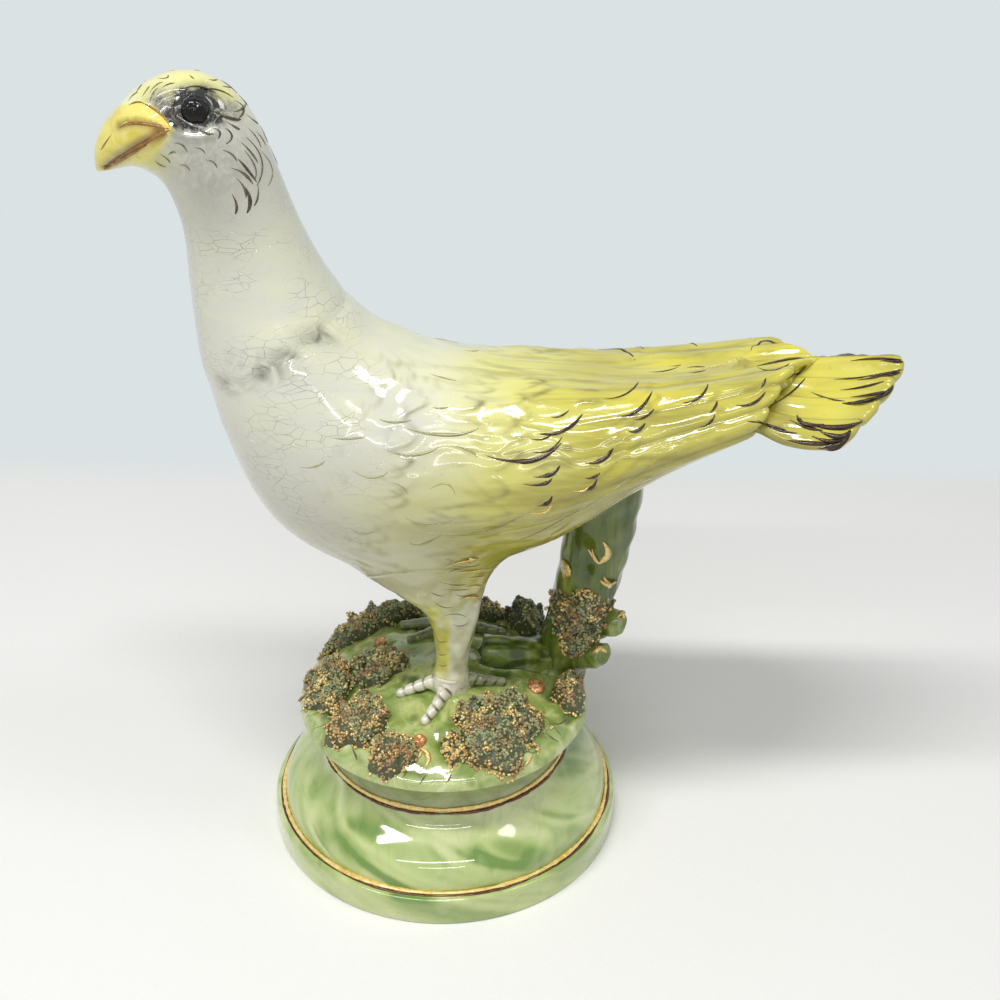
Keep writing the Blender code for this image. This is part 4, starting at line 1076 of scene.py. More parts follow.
# plinth, turned with a stepped rim and an ogee up to the waist
plinth = {"foot": 0.0600, "rim": 0.0616, "rimHeight": 0.0105, "step": 0.0588, "groove": 0.0010,
          "waist": 0.0426, "height": 0.0319, "middleRun": 0.50, "middleDrop": 0.44, "covePull": 0.24,
          "shoulderPull": 0.30, "lean": 0.26, "sides": 288, "hub": 0.0005, "waistInset": 0.0006,
          "footInset": 0.0012, "coveRows": 24, "ogeeRows": 30, "grooveRows": 8, "rimRows": 14, "footRows": 12,
          "uneven": 0.0028, "unevenness": (-1.35, 1, 0.05, 31), "unevenFrom": (0.0006, 0.002),
          "swirl": 45, "swirlFlat": 0.3, "stir": 0.004, "stirs": [(0.02, 32), (0.02, 33), (0.02, 34)],
          "vein": (0.5, 0.24, 0.030, 35), "thread": (0.16, 0.012, 36),
          "paleRim": 0.4, "paleDrop": 0.0004, "paleRun": -0.002}


def buildPlinth():
    shoulder = np.array((plinth["step"] - plinth["groove"], plinth["rimHeight"] + plinth["groove"]))
    waist = np.array((plinth["waist"], plinth["height"]))
    run, rise = shoulder[0] - waist[0], waist[1] - shoulder[1]
    middle = waist + (plinth["middleRun"] * run, -plinth["middleDrop"] * rise)
    lean = np.array((plinth["lean"] * run, -plinth["lean"] * rise / 2))
    rimTop, rimCrown = (plinth["step"], plinth["rimHeight"]), (plinth["rim"], plinth["rimHeight"] / 2)
    corner, floorCorner = (plinth["rim"], plinth["rimHeight"]), (plinth["rim"], 0.0)
    grooveFoot = (shoulder[0], plinth["rimHeight"])
    covePull = waist - (0, plinth["covePull"] * rise)
    shoulderPull = shoulder + (0, plinth["shoulderPull"] * rise)
    profile = [[(plinth["hub"], waist[1])], [waist - (plinth["waistInset"], 0)],
               bend(waist, covePull, middle - lean, middle, plinth["coveRows"]),
               bend(middle, middle + lean, shoulderPull, shoulder, plinth["ogeeRows"]),
               bend(shoulder, grooveFoot, grooveFoot, rimTop, plinth["grooveRows"]),
               bend(rimTop, corner, corner, rimCrown, plinth["rimRows"]),
               bend(rimCrown, floorCorner, floorCorner, (plinth["foot"], 0.0), plinth["footRows"]),
               [(plinth["foot"] - plinth["footInset"], 0.0)], [(plinth["hub"], 0.0)]]
    rings = turned(np.concatenate([np.asarray(part, float) for part in profile]), plinth["sides"])
    flat = rings.reshape(-1, 3)
    above = fade(flat[:, 2], *plinth["unevenFrom"])[:, None]
    flat[:, :2] *= 1 + above * plinth["uneven"] * stirred(flat, *plinth["unevenness"])[:, None]
    piece, points = addTube("turnedPlinth", flat.reshape(rings.shape), marbledGreen)
    turn = np.arctan2(points[:, 1], points[:, 0]) + plinth["swirl"] * points[:, 2]
    reach = np.linalg.norm(points[:, :2], axis=1)
    swept = np.stack([reach * np.cos(turn), reach * np.sin(turn), plinth["swirlFlat"] * points[:, 2]], -1)
    stirs = zip((swept, swept, points), plinth["stirs"])
    swept = swept + plinth["stir"] * np.stack([ripple(spots, *stir) for spots, stir in stirs], -1)
    marble = stirred(swept, stirred(swept, *plinth["vein"]), *plinth["thread"])
    pale = plinth["paleRim"] * fade(flat[:, 2], plinth["rimHeight"] - plinth["paleDrop"], plinth["paleRun"])
    paint(piece, marble=marble, pale=withHubs(pale))
    dress(piece, "marbled_green_glaze", "plinth_foot")


# painted bands: radius, height, half width, half height, looseness and finish
# the brown bands under the gold ones are brown edging with painted shade in the step and at the waist
bands = {"goldStep": (0.0583, 0.01115, 0.00075, 0.00042, 0.18, goldStroke),
         "brownStep": (0.0592, 0.0105, 0.0004, 0.00032, 0.5, brownEdgeAndShade),
         "goldWaist": (0.0429, 0.0330, 0.0005, 0.0009, 0.18, goldStroke),
         "brownWaist": (0.0433, 0.0318, 0.0007, 0.0005, 0.5, brownEdgeAndShade)}
bandHand = {"steps": 360, "sides": 12, "reach": 0.06, "looseSize": 0.02, "tremble": (0.12, 0.004, 7),
            "thinnest": 0.15, "wander": (0.0001, 0.03, 9)}


def buildBands():
    turn, ring = circle(bandHand["steps"]), circle(bandHand["sides"])
    around = np.stack([np.cos(turn), np.sin(turn), np.zeros(bandHand["steps"])], -1)
    spots = around * bandHand["reach"]
    for name, (radius, height, halfWide, halfTall, loose, finish) in bands.items():
        hand = stirred(spots, 1, loose, bandHand["looseSize"], len(name))
        hand = np.maximum(stirred(spots, hand, *bandHand["tremble"]), bandHand["thinnest"])[:, None]
        wide = radius + halfWide * hand * np.cos(ring)
        tall = height + halfTall * hand * np.sin(ring) + stirred(spots, 0, *bandHand["wander"])[:, None]
        rings = np.stack([wide * around[:, :1], wide * around[:, 1:2], tall], -1)
        index = np.arange(wide.size).reshape(wide.shape)
        right, down = np.roll(index, -1, 1), np.roll(index, -1, 0)
        quads = np.stack([index, right, np.roll(down, -1, 1), down], -1).reshape(-1, 4)
        dress(addPiece(name + "Band", rings.reshape(-1, 3), [quads], finish), "marbled_green_glaze")


# legs: sections as share of the length, shift aft, half length and half width in millimetres
legs = {"spacing": 0.0340, "aft": 0.0028, "ankle": 0.0040, "sink": 0.0015, "length": 0.0398, "rows": 110,
        "sides": 72, "sections": np.array([
            (0.00, 0.0, 5.0, 4.6), (0.28, 0.6, 5.7, 5.2), (0.58, 1.0, 7.9, 6.6), (0.78, -0.8, 10.8, 8.6),
            (0.88, -2.8, 13.5, 10.0), (1.12, -6.2, 19.0, 13.0), (1.40, -8.0, 20.0, 14.0)]),
        "rough": (0, 0.00022, 0.006, 41), "roughTall": (1, 1, 0.5), "front": 0.0008, "frontRun": -0.003,
        "lemon": 0.24, "lemonRise": 0.0845, "lemonTall": 0.015, "streaks": (0.65, 0.35, 0.008, 42),
        "thigh": (0.096, 0.016), "olive": (0.10, 0.14, 0.012, 43), "wash": (0.10, 0.10, 0.004, 44),
        "grime": 0.05, "fillet": 0.010}


def legPlace(side):
    return legs["aft"], bird["offset"] - side * legs["spacing"] / 2


def buildLeg(name, side):
    aft, sideways = legPlace(side)
    ground = moundHeight(math.hypot(aft, sideways))
    stations = np.linspace(0, len(legs["sections"]) - 1, legs["rows"])
    share, shift, halfLong, halfWide = rowAt(legs["sections"], stations).T[..., None]
    angle = circle(legs["sides"])
    rise = np.repeat(ground + legs["ankle"] - legs["sink"] + share * legs["length"], legs["sides"], 1)
    rings = np.stack([aft + (shift + halfLong * np.cos(angle)) / 1000,
                      sideways + halfWide * np.sin(angle) / 1000, rise], -1)
    piece, points = addTube(name, rings, ivoryAndLemon)
    raiseSkin(piece, points, stirred(points * legs["roughTall"], *legs["rough"]))
    front = fade(points[:, 0], aft + legs["front"], legs["frontRun"]) * stirred(points, *legs["streaks"])
    lemon = legs["lemon"] + hill(points[:, 2] - legs["lemonRise"], legs["lemonTall"]) * front
    thigh = fade(points[:, 2], *legs["thigh"])
    shank = 1 - thigh
    tint = birdTint(points)
    tint["lemon"] = np.clip(lemon, 0, 1) * shank + tint["lemon"] * thigh
    tint["olive"] = stirred(points, *legs["olive"]).clip(0, 1) * shank + tint["olive"] * thigh
    # greys and darkens the shank a little
    grime = legs["grime"] * shank
    paint(piece, furrow=shank * stirred(points, *legs["wash"]), grey=grime, stain=grime, **tint)
    return piece


# toes: compass in degrees, length in metres and curl in degrees; olive: front toes, hind toe and pad
feet = {"left": [(188, 0.0190, 8), (254, 0.0200, -11), (8, 0.0190, 0)],
        "right": [(157, 0.0215, 8), (217, 0.0190, -8), (3, 0.0190, 0)],
        # the right foot, the far one, is painted olive all over: painted shade
        "olive": {"left": (0.05, 0.05, 0.80, 0.05), "right": (0.95, 0.95, 0.95, 0.95)},
        "furrow": {"left": 1.0, "right": 0.35},
        "radius": 0.0023, "root": 1.12, "tip": 0.62, "rows": 110, "sides": 28,
        "seat": 0.6, "seatDrop": 0.3, "instep": 0.0016, "bluntFrom": 0.93, "bluntRun": 0.07,
        "leastTip": 0.0004, "knuckles": 5.5, "stray": 0.12, "strayWaves": 9, "knuckle": 0.05, "crease": 0.10,
        "creaseWidth": 0.2, "creaseRise": 0.2, "slant": 0.28, "slantTurn": 0.6, "wear": 0.3, "wearWaves": 2,
        "lineWidth": 0.13, "lineRise": 0.15, "pad": 0.0062, "padTop": 0.72, "padRows": 24, "padSides": 48,
        "padSink": 0.001, "padRise": 0.0012, "toeFillet": 0.003, "legFillet": 0.004}


def buildToe(aft, sideways, compass, length, bow):
    share = np.linspace(0, 1, feet["rows"])
    curl = np.radians(compass + bow * share)
    x, y = aft + share * length * np.cos(curl), sideways + share * length * np.sin(curl)
    taper = feet["radius"] * (feet["root"] - (feet["root"] - feet["tip"]) * share)
    phase = feet["knuckles"] * share + feet["stray"] * np.sin(feet["strayWaves"] * share + compass)
    dip = feet["crease"] * hill(phase % 1.0 - 0.5, feet["creaseWidth"])
    knuckle = 1 + (feet["knuckle"] - dip) * ease(share / feet["creaseRise"])
    past = np.clip(share - feet["bluntFrom"], 0, 1) / feet["bluntRun"]
    blunt = np.sqrt(np.clip(1 - past ** 2, feet["leastTip"], 1))
    seat = feet["seat"] * feet["radius"] * (1 - feet["seatDrop"] * share) + feet["instep"] * (1 - share) ** 2
    rings = rodRings(onMound(x, y, seat), taper * knuckle * blunt, feet["sides"])
    around = circle(feet["sides"])
    slash = feet["knuckles"] * share[:, None] + feet["slant"] * np.cos(around + feet["slantTurn"])
    worn = 1 - feet["wear"] + feet["wear"] * np.sin(feet["wearWaves"] * around + compass)
    line = worn * hill(slash % 1.0 - 0.5, feet["lineWidth"]) * ease(share / feet["lineRise"])[:, None]
    return tube(rings), withHubs(line)


def buildPad(aft, sideways):
    ground = moundHeight(math.hypot(aft, sideways))
    share, turn = grid(np.linspace(0, 1, feet["padRows"]), circle(feet["padSides"]))
    reach = feet["pad"] * (1 + (feet["padTop"] - 1) * ease(share))
    rise = ground - feet["padSink"] + share * (legs["ankle"] + feet["padRise"])
    rings = np.stack([aft + reach * np.cos(turn), sideways + reach * np.sin(turn), rise], -1)
    return tube(rings), withHubs(np.zeros(share.size))


def buildFoot(name, side, leg):
    place = legPlace(side)
    parts = [buildToe(*place, *toe) for toe in feet[name]] + [buildPad(*place)]
    pieces = []
    for number, ((points, faces), furrow) in enumerate(parts):
        piece = addPiece(f"{name}Toe{number}", points, faces, creamToe)
        olive = np.full(len(points), feet["olive"][name][number])
        paint(piece, furrow=feet["furrow"][name] * furrow, olive=olive)
        pieces.append(piece)
    for piece in pieces[:-1]:
        fillet(piece, pieces[-1], feet["toeFillet"])
    fillet(pieces[-1], leg, feet["legFillet"])
    return dress(joined(name + "Foot", pieces), "cream_glaze", name + "_foot")


def joined(name, pieces):  # one object from several closed parts
    bpy.ops.object.select_all(action="DESELECT")
    for piece in pieces:
        piece.select_set(True)
    bpy.context.view_layer.objects.active = pieces[0]
    bpy.ops.object.join()
    pieces[0].name = name
    return pieces[0]


# stump: places as aft and sideways at the foot, the knee and the head
stump = {"foot": (0.0395, 0.0120), "knee": (0.0508, 0.0100), "head": (0.0540, 0.0080),
         "radii": (0.0102, 0.0114, 0.0136), "sink": 0.0030, "headHeight": 0.1506, "cut": 0.93,
         "flutes": 5, "flute": 0.014, "twist": 2.0, "rows": 150, "sides": 120,
         "grain": 0.00014, "grainSize": (0.005, 51), "grainTall": (1, 1, 0.22),
         "knots": (0.00028, 0.011, 52), "deep": 0.45, "deepFrom": (-0.2, -0.6), "fillet": 0.005}


def stumpAxis(share):
    weights = np.stack([(1 - share) * (1 - 2 * share), 4 * share * (1 - share), share * (2 * share - 1)], -1)
    places = np.array([stump["foot"], stump["knee"], stump["head"]])
    return weights @ places, weights @ np.array(stump["radii"])


def stumpFoot():
    return moundHeight(math.hypot(*stump["foot"])) - stump["sink"]


def stumpAt(rise):
    foot = stumpFoot()
    place, radius = stumpAxis(np.array((rise + stump["sink"]) / (stump["headHeight"] - foot)))
    return np.array((*place, foot + stump["sink"] + rise)), float(radius)


def buildStump(moundPiece, body):
    share = np.linspace(0, stump["cut"], stump["rows"])[:, None]
    angle = circle(stump["sides"])
    place, radius = stumpAxis(share[:, 0])
    reach = radius[:, None] * (1 + stump["flute"] * np.cos(stump["flutes"] * angle + stump["twist"] * share))
    rise = stumpFoot() + share * (stump["headHeight"] - stumpFoot())
    rings = np.stack([place[:, :1] + reach * np.cos(angle), place[:, 1:] + reach * np.sin(angle),
                      np.repeat(rise, stump["sides"], 1)], -1)
    piece, points = addTube("treeStump", rings, bark)
    grain = ripple(points * stump["grainTall"], *stump["grainSize"])
    raiseSkin(piece, points, stirred(points, stump["grain"] * grain, *stump["knots"]))
    paint(piece, deep=stump["deep"] * fade(grain, *stump["deepFrom"]))
    fillet(piece, moundPiece, stump["fillet"])
    fillet(piece, body, stump["fillet"])
    return dress(piece, "bark_green_glaze", "stump")


# stubs: rise up the stump, reach, compass, upward curl and pale green, partly painted light; the cut end is
# dished in the middle
stubs = {"upper": (0.0180, 0.0178, -28, 0.0028, 0.62), "lower": (0.0060, 0.0200, -52, 0.0058, 0.44),
         "radius": 0.0050, "lift": 0.15, "rows": 50, "sides": 44, "taperAt": (0, 0.33, 0.66, 0.9, 1),
         "taper": (1.15, 1.0, 0.98, 0.92, 0.78), "cutWidths": (0.74, 0.68, 0.6, 0.5, 0.42, 0.34, 0.2, 0.06),
         "cutDish": (-0.012, -0.016, -0.014, -0.004, 0.012, 0.025, 0.032, 0.034),
         "rough": (0, 0.0003, 0.006, 61), "fillet": 0.003}


def buildStub(name, treeStump):
    rise, reach, compass, curl, fresh = stubs[name]
    start, _ = stumpAt(rise)
    out = np.array((math.cos(math.radians(compass)), math.sin(math.radians(compass)), stubs["lift"]))
    cut = len(stubs["cutWidths"])
    share = np.concatenate([np.linspace(0, 1, stubs["rows"]), np.full(cut, 1.0)])
    width = np.interp(share, stubs["taperAt"], stubs["taper"])
    width[-cut:] = stubs["cutWidths"]
    path = start + out * (reach * share)[:, None]
    path[-cut:] -= out * (reach * np.array(stubs["cutDish"]))[:, None]
    path[:, 2] += curl * share ** 2
    rings = rodRings(path, stubs["radius"] * width, stubs["sides"], out)
    piece, points = addTube(name + "Stub", rings, bark)
    raiseSkin(piece, points, stirred(points, *stubs["rough"]))
    paint(piece, fresh=np.full(len(points), fresh))
    fillet(piece, treeStump, stubs["fillet"])
    return dress(piece, "bark_green_glaze", name + "_stub")


# branch: the cut end's rows are an inset and a push along
branch = {"end": (0.0130, 0.0030), "radius": 0.0060, "bow": 0.0030, "seat": 0.55, "rows": 100, "sides": 56,
          "thin": 0.92, "thicken": 0.16,
          "cut": [(0.9, 0.9), (0.6, 1.1), (0.45, 0.9), (0.3, 0.7), (0.2, -0.2), (0.08, -0.7)],
          "ridge": 0.0004, "ridgeSize": (0.005, 71), "ridgeLong": (0.3, 1, 1), "cutDeep": 0.9, "deep": 0.3,
          "fresh": 0.55, "paleGreenAndLightFrom": (-0.4, 1.0), "fillet": 0.003}


def buildBranch(moundPiece):
    share = np.linspace(0, 1, branch["rows"])
    (endX, endY), (footX, footY) = branch["end"], stump["foot"]
    x = between(endX, footX, share)
    y = between(endY, footY, share) - branch["bow"] * np.sin(math.pi * share)
    path = onMound(x, y, branch["seat"] * branch["radius"])
    rings = rodRings(path, branch["radius"] * (branch["thin"] + branch["thicken"] * share), branch["sides"])
    face = [rings[0] + (path[0] - rings[0]) * inset + (path[1] - path[0]) * push
            for inset, push in branch["cut"]]
    piece, points = addTube("fallenBranch", np.concatenate([np.array(face), rings]), bark)
    ridges = ripple(points * branch["ridgeLong"], *branch["ridgeSize"])
    raiseSkin(piece, points, branch["ridge"] * ridges)
    end = np.zeros(len(points))
    end[:len(face) * branch["sides"]] = branch["cutDeep"]
    # paler toward the ridge tops: partly painted light
    paint(piece, deep=np.clip(end + branch["deep"] * ease(-ridges), 0, 1),
          fresh=branch["fresh"] * fade(ridges, *branch["paleGreenAndLightFrom"]) * (1 - end))
    fillet(piece, moundPiece, branch["fillet"])
    return dress(piece, "bark_green_glaze", "fallen_branch")


# moss clumps: compass, share of the mound's radius, half length, half width, height, gilding and brownness
moss = {"clumps": {
            # moss_back_crest and moss_left carry extra gilding, which lightens them: painted light where the
            # bird's shadow falls
            "moss_back_crest": (131, 0.850, 0.0235, 0.0064, 0.0085, 0.36, 0.42),
            "moss_left": (186, 0.802, 0.0155, 0.0080, 0.0060, 0.62, 0.56),
            "moss_middle": (184, 0.458, 0.0098, 0.0096, 0.0058, 0.48, 0.44),
            "moss_front_left": (223, 0.752, 0.0098, 0.0098, 0.0064, 0.60, 0.66),
            "moss_front": (248, 0.851, 0.0082, 0.0064, 0.0058, 0.58, 0.74),
            "moss_front_right": (303, 0.693, 0.0158, 0.0128, 0.0070, 0.42, 0.52),
            "moss_right": (350, 0.881, 0.0074, 0.0054, 0.0095, 0.58, 0.62),
            "moss_behind_stump": (47, 0.842, 0.0084, 0.0066, 0.0140, 0.14, 0.16),
            "moss_behind_leg": (73, 0.842, 0.0088, 0.0064, 0.0080, 0.26, 0.50)},
        "tuft": (277, 0.770, 0.0048, 0.0052, 0.0026, 0.85, 0.60),
        "onStump": (0.0250, 0.0140, 0.0102, 0.0042, 0.42, 0.50),  # the first is its rise up the stump
        "firstSeed": 100, "seedStep": 7, "tuftSeed": 205, "stumpSeed": 191,
        "lobes": [(2, 0.07), (3, 0.10), (5, 0.07), (8, 0.04)], "shoulder": 2.6, "dome": 0.6, "wrap": 0.95}
crumbs = {"radius": 0.00056, "spacing": 0.00080, "skirt": 1.06, "sides": 2.4, "gather": 0.45, "facing": 0.6,
          "knob": 0.0011, "knobSize": 0.0046, "settle": 0.0003, "scatter": (-0.0005, 0.0003), "ruffle": 0.9,
          "wide": (0.7, 1.15), "long": (0.85, 1.5), "lump": 0.08, "lumpWaves": 5, "cuts": 1,
          "tone": (0.30, 0.009), "toneStray": 0.15, "giltDrop": 0.05, "gilt": (0.30, 0.008),
          "giltStray": 0.28, "giltHollow": 0.5, "giltKnob": (-0.6, 0.6)}
# the core under the crumbs takes the darkest clay shade: painted shade between the crumbs
mossCore = {"sides": 72, "rows": 16, "edge": 0.98, "top": 0.05, "drop": 0.0004, "sink": 0.0021, "tone": 0.03}


def heapEdge(angle, seed):  # uneven outline of a heap
    pick = np.random.default_rng(seed)
    edge = np.ones_like(angle)
    for lobes, depth in moss["lobes"]:
        edge = edge + depth * np.sin(lobes * angle + pick.uniform(0, 2 * math.pi))
    return edge


def heapPoint(heap, angle, share, drop=0.0):  # place on a heap, share 0 in the middle and 1 at the edge
    edge = heapEdge(angle, heap["seed"])
    along = (heap["halfLong"] * share * edge * np.cos(angle))[..., None] * heap["along"]
    across = (heap["halfWide"] * share * edge * np.sin(angle))[..., None] * heap["across"]
    rise = heap["height"] * np.clip(1 - share ** moss["shoulder"], 0, 1) ** moss["dome"] - drop
    flat = heap["centre"] + along + across
    if heap["onStump"]:
        sideways = np.clip(np.abs(flat[..., 0] - heap["centre"][0]), 0, moss["wrap"] * heap["bend"])
        rise = rise - (heap["bend"] - np.sqrt(heap["bend"] ** 2 - sideways ** 2))
    else:
        flat[..., 2] = moundHeight(np.hypot(flat[..., 0], flat[..., 1]))
    return flat + rise[..., None] * heap["up"]


def camel(node):  # a piece's own name from its node's
    first, *rest = node.split("_")
    return first + "".join(word.title() for word in rest)


def buildHeap(name, heap, gilding, brownness):
    seed = heap["seed"]
    pick = np.random.default_rng(seed)
    around = heap["halfLong"] + heap["halfWide"]
    area = math.pi * heap["halfLong"] * heap["halfWide"] + crumbs["sides"] * heap["height"] * around
    count = int(area / crumbs["spacing"] ** 2)
    angle = pick.uniform(0, 2 * math.pi, count)
    share = crumbs["skirt"] * pick.uniform(0, 1, count) ** crumbs["gather"]
    centres = heapPoint(heap, angle, share)
    facing = unit(centres - heap["centre"] + crumbs["facing"] * heap["height"] * heap["up"])
    knobs = ripple(centres, crumbs["knobSize"], seed + 1)
    proud = crumbs["knob"] * knobs - crumbs["settle"] + pick.uniform(*crumbs["scatter"], count)
    centres = centres + proud[:, None] * facing
    shape, faces = ballShape(crumbs["cuts"], 1.0)
    lean = unit(facing + crumbs["ruffle"] * pick.normal(size=(count, 3)))
    side = unit(np.cross(lean, pick.normal(size=(count, 3))))
    frames = np.stack([side, np.cross(lean, side), lean], 1)
    radii = np.stack([pick.uniform(*crumbs[size], count) for size in ("wide", "wide", "long")], -1)
    bumps = np.sin(crumbs["lumpWaves"] * shape @ pick.normal(size=(3, 4)) + 1).sum(1)
    lumps = 1 + crumbs["lump"] * bumps[None, :, None]
    strands = centres[:, None] + (shape[None] * lumps * crumbs["radius"] * radii[:, None]) @ frames
    indices = (faces[None] + len(shape) * np.arange(count)[:, None, None]).reshape(-1, 3)
    rows = np.linspace(mossCore["edge"], mossCore["top"], mossCore["rows"])
    rows, turn = grid(rows, circle(mossCore["sides"]))
    core = heapPoint(heap, turn, rows, mossCore["drop"])
    core = core + (crumbs["knob"] * ripple(core, crumbs["knobSize"], seed + 1))[..., None] * heap["up"]
    corePoints, (coreQuads, coreFans) = tube(np.concatenate([core[:1] - mossCore["sink"] * heap["up"], core]))
    start = len(corePoints)
    points = np.concatenate([corePoints, strands.reshape(-1, 3)])
    piece = addPiece(camel(name), points, [coreQuads, np.concatenate([coreFans, indices + start])], mossCrumb)
    tone = stirred(centres, brownness, *crumbs["tone"], seed + 2)
    tone = np.clip(tone + pick.uniform(-crumbs["toneStray"], crumbs["toneStray"], count), 0, 1)
    gilt = stirred(centres, gilding - crumbs["giltDrop"], *crumbs["gilt"], seed + 3)
    gilt = np.clip(gilt + pick.uniform(-crumbs["giltStray"], crumbs["giltStray"], count), 0, 1)
    gilt = gilt * between(crumbs["giltHollow"], 1, fade(knobs, *crumbs["giltKnob"]))
    paint(piece, tone=np.concatenate([np.full(start, mossCore["tone"]), np.repeat(tone, len(shape))]),
          gilt=np.concatenate([np.zeros(start), np.repeat(gilt, len(shape))]))
    return dress(piece, "gilt_moss", *([] if name == "gilded_tuft" else [name]))


def groundHeap(row, seed):
    compass, share, halfLong, halfWide, height = row[:5]
    angle = math.radians(compass)
    out = np.array((math.cos(angle), math.sin(angle), 0.0))
    return {"centre": onMound(*(share * mound["radius"] * out[:2])), "up": upright, "across": out,
            "along": np.array((-out[1], out[0], 0.0)), "halfLong": halfLong, "halfWide": halfWide,
            "height": height, "seed": seed, "onStump": False}


def buildMoss():
    for number, (name, row) in enumerate(moss["clumps"].items()):
        buildHeap(name, groundHeap(row, moss["firstSeed"] + moss["seedStep"] * number), *row[5:])
    buildHeap("gilded_tuft", groundHeap(moss["tuft"], moss["tuftSeed"]), *moss["tuft"][5:])
    rise, halfTall, halfWide, proud, gilding, brownness = moss["onStump"]
    centre, radius = stumpAt(rise)
    front, aft = np.array((0.0, -1.0, 0.0)), np.array((1.0, 0.0, 0.0))
    heap = {"centre": centre + radius * front, "up": front, "across": aft, "along": upright,
            "halfLong": halfTall, "halfWide": halfWide, "height": proud, "seed": moss["stumpSeed"],
            "onStump": True, "bend": radius}
    buildHeap("moss_on_stump", heap, gilding, brownness)


# pellets: compass, share of the mound's radius and radius; each has a thumbed hollow on top
pellets = {"gold_pellet": (259, 0.717, 0.0026), "orange_pellet": (346, 0.642, 0.0034),
           "red_pellet": (146, 0.564, 0.0022)}
pelletForm = {"sides": 40, "rows": 26, "low": -35, "high": 84, "hollow": 0.22, "hollowWide": 0.35,
              "squat": 0.8, "rough": (0, 0.00018, 0.0025), "firstSeed": 81}


def buildPellets():
    climb = np.radians(np.linspace(pelletForm["low"], pelletForm["high"], pelletForm["rows"]))
    climb, turn = grid(climb, circle(pelletForm["sides"]))
    dish = 1 - pelletForm["hollow"] * hill(math.pi / 2 - climb, pelletForm["hollowWide"])
    ball = np.stack([np.cos(turn) * np.cos(climb), np.sin(turn) * np.cos(climb),
                     pelletForm["squat"] * dish * np.sin(climb)], -1)
    for number, (name, (compass, share, radius)) in enumerate(pellets.items()):
        angle = math.radians(compass)
        distance = share * mound["radius"]
        centre = onMound(distance * math.cos(angle), distance * math.sin(angle))
        piece, points = addTube(camel(name), radius * ball + centre, orangePellet)
        raiseSkin(piece, points, stirred(points, *pelletForm["rough"], pelletForm["firstSeed"] + number))
        dress(piece, "pellet_glaze", name)


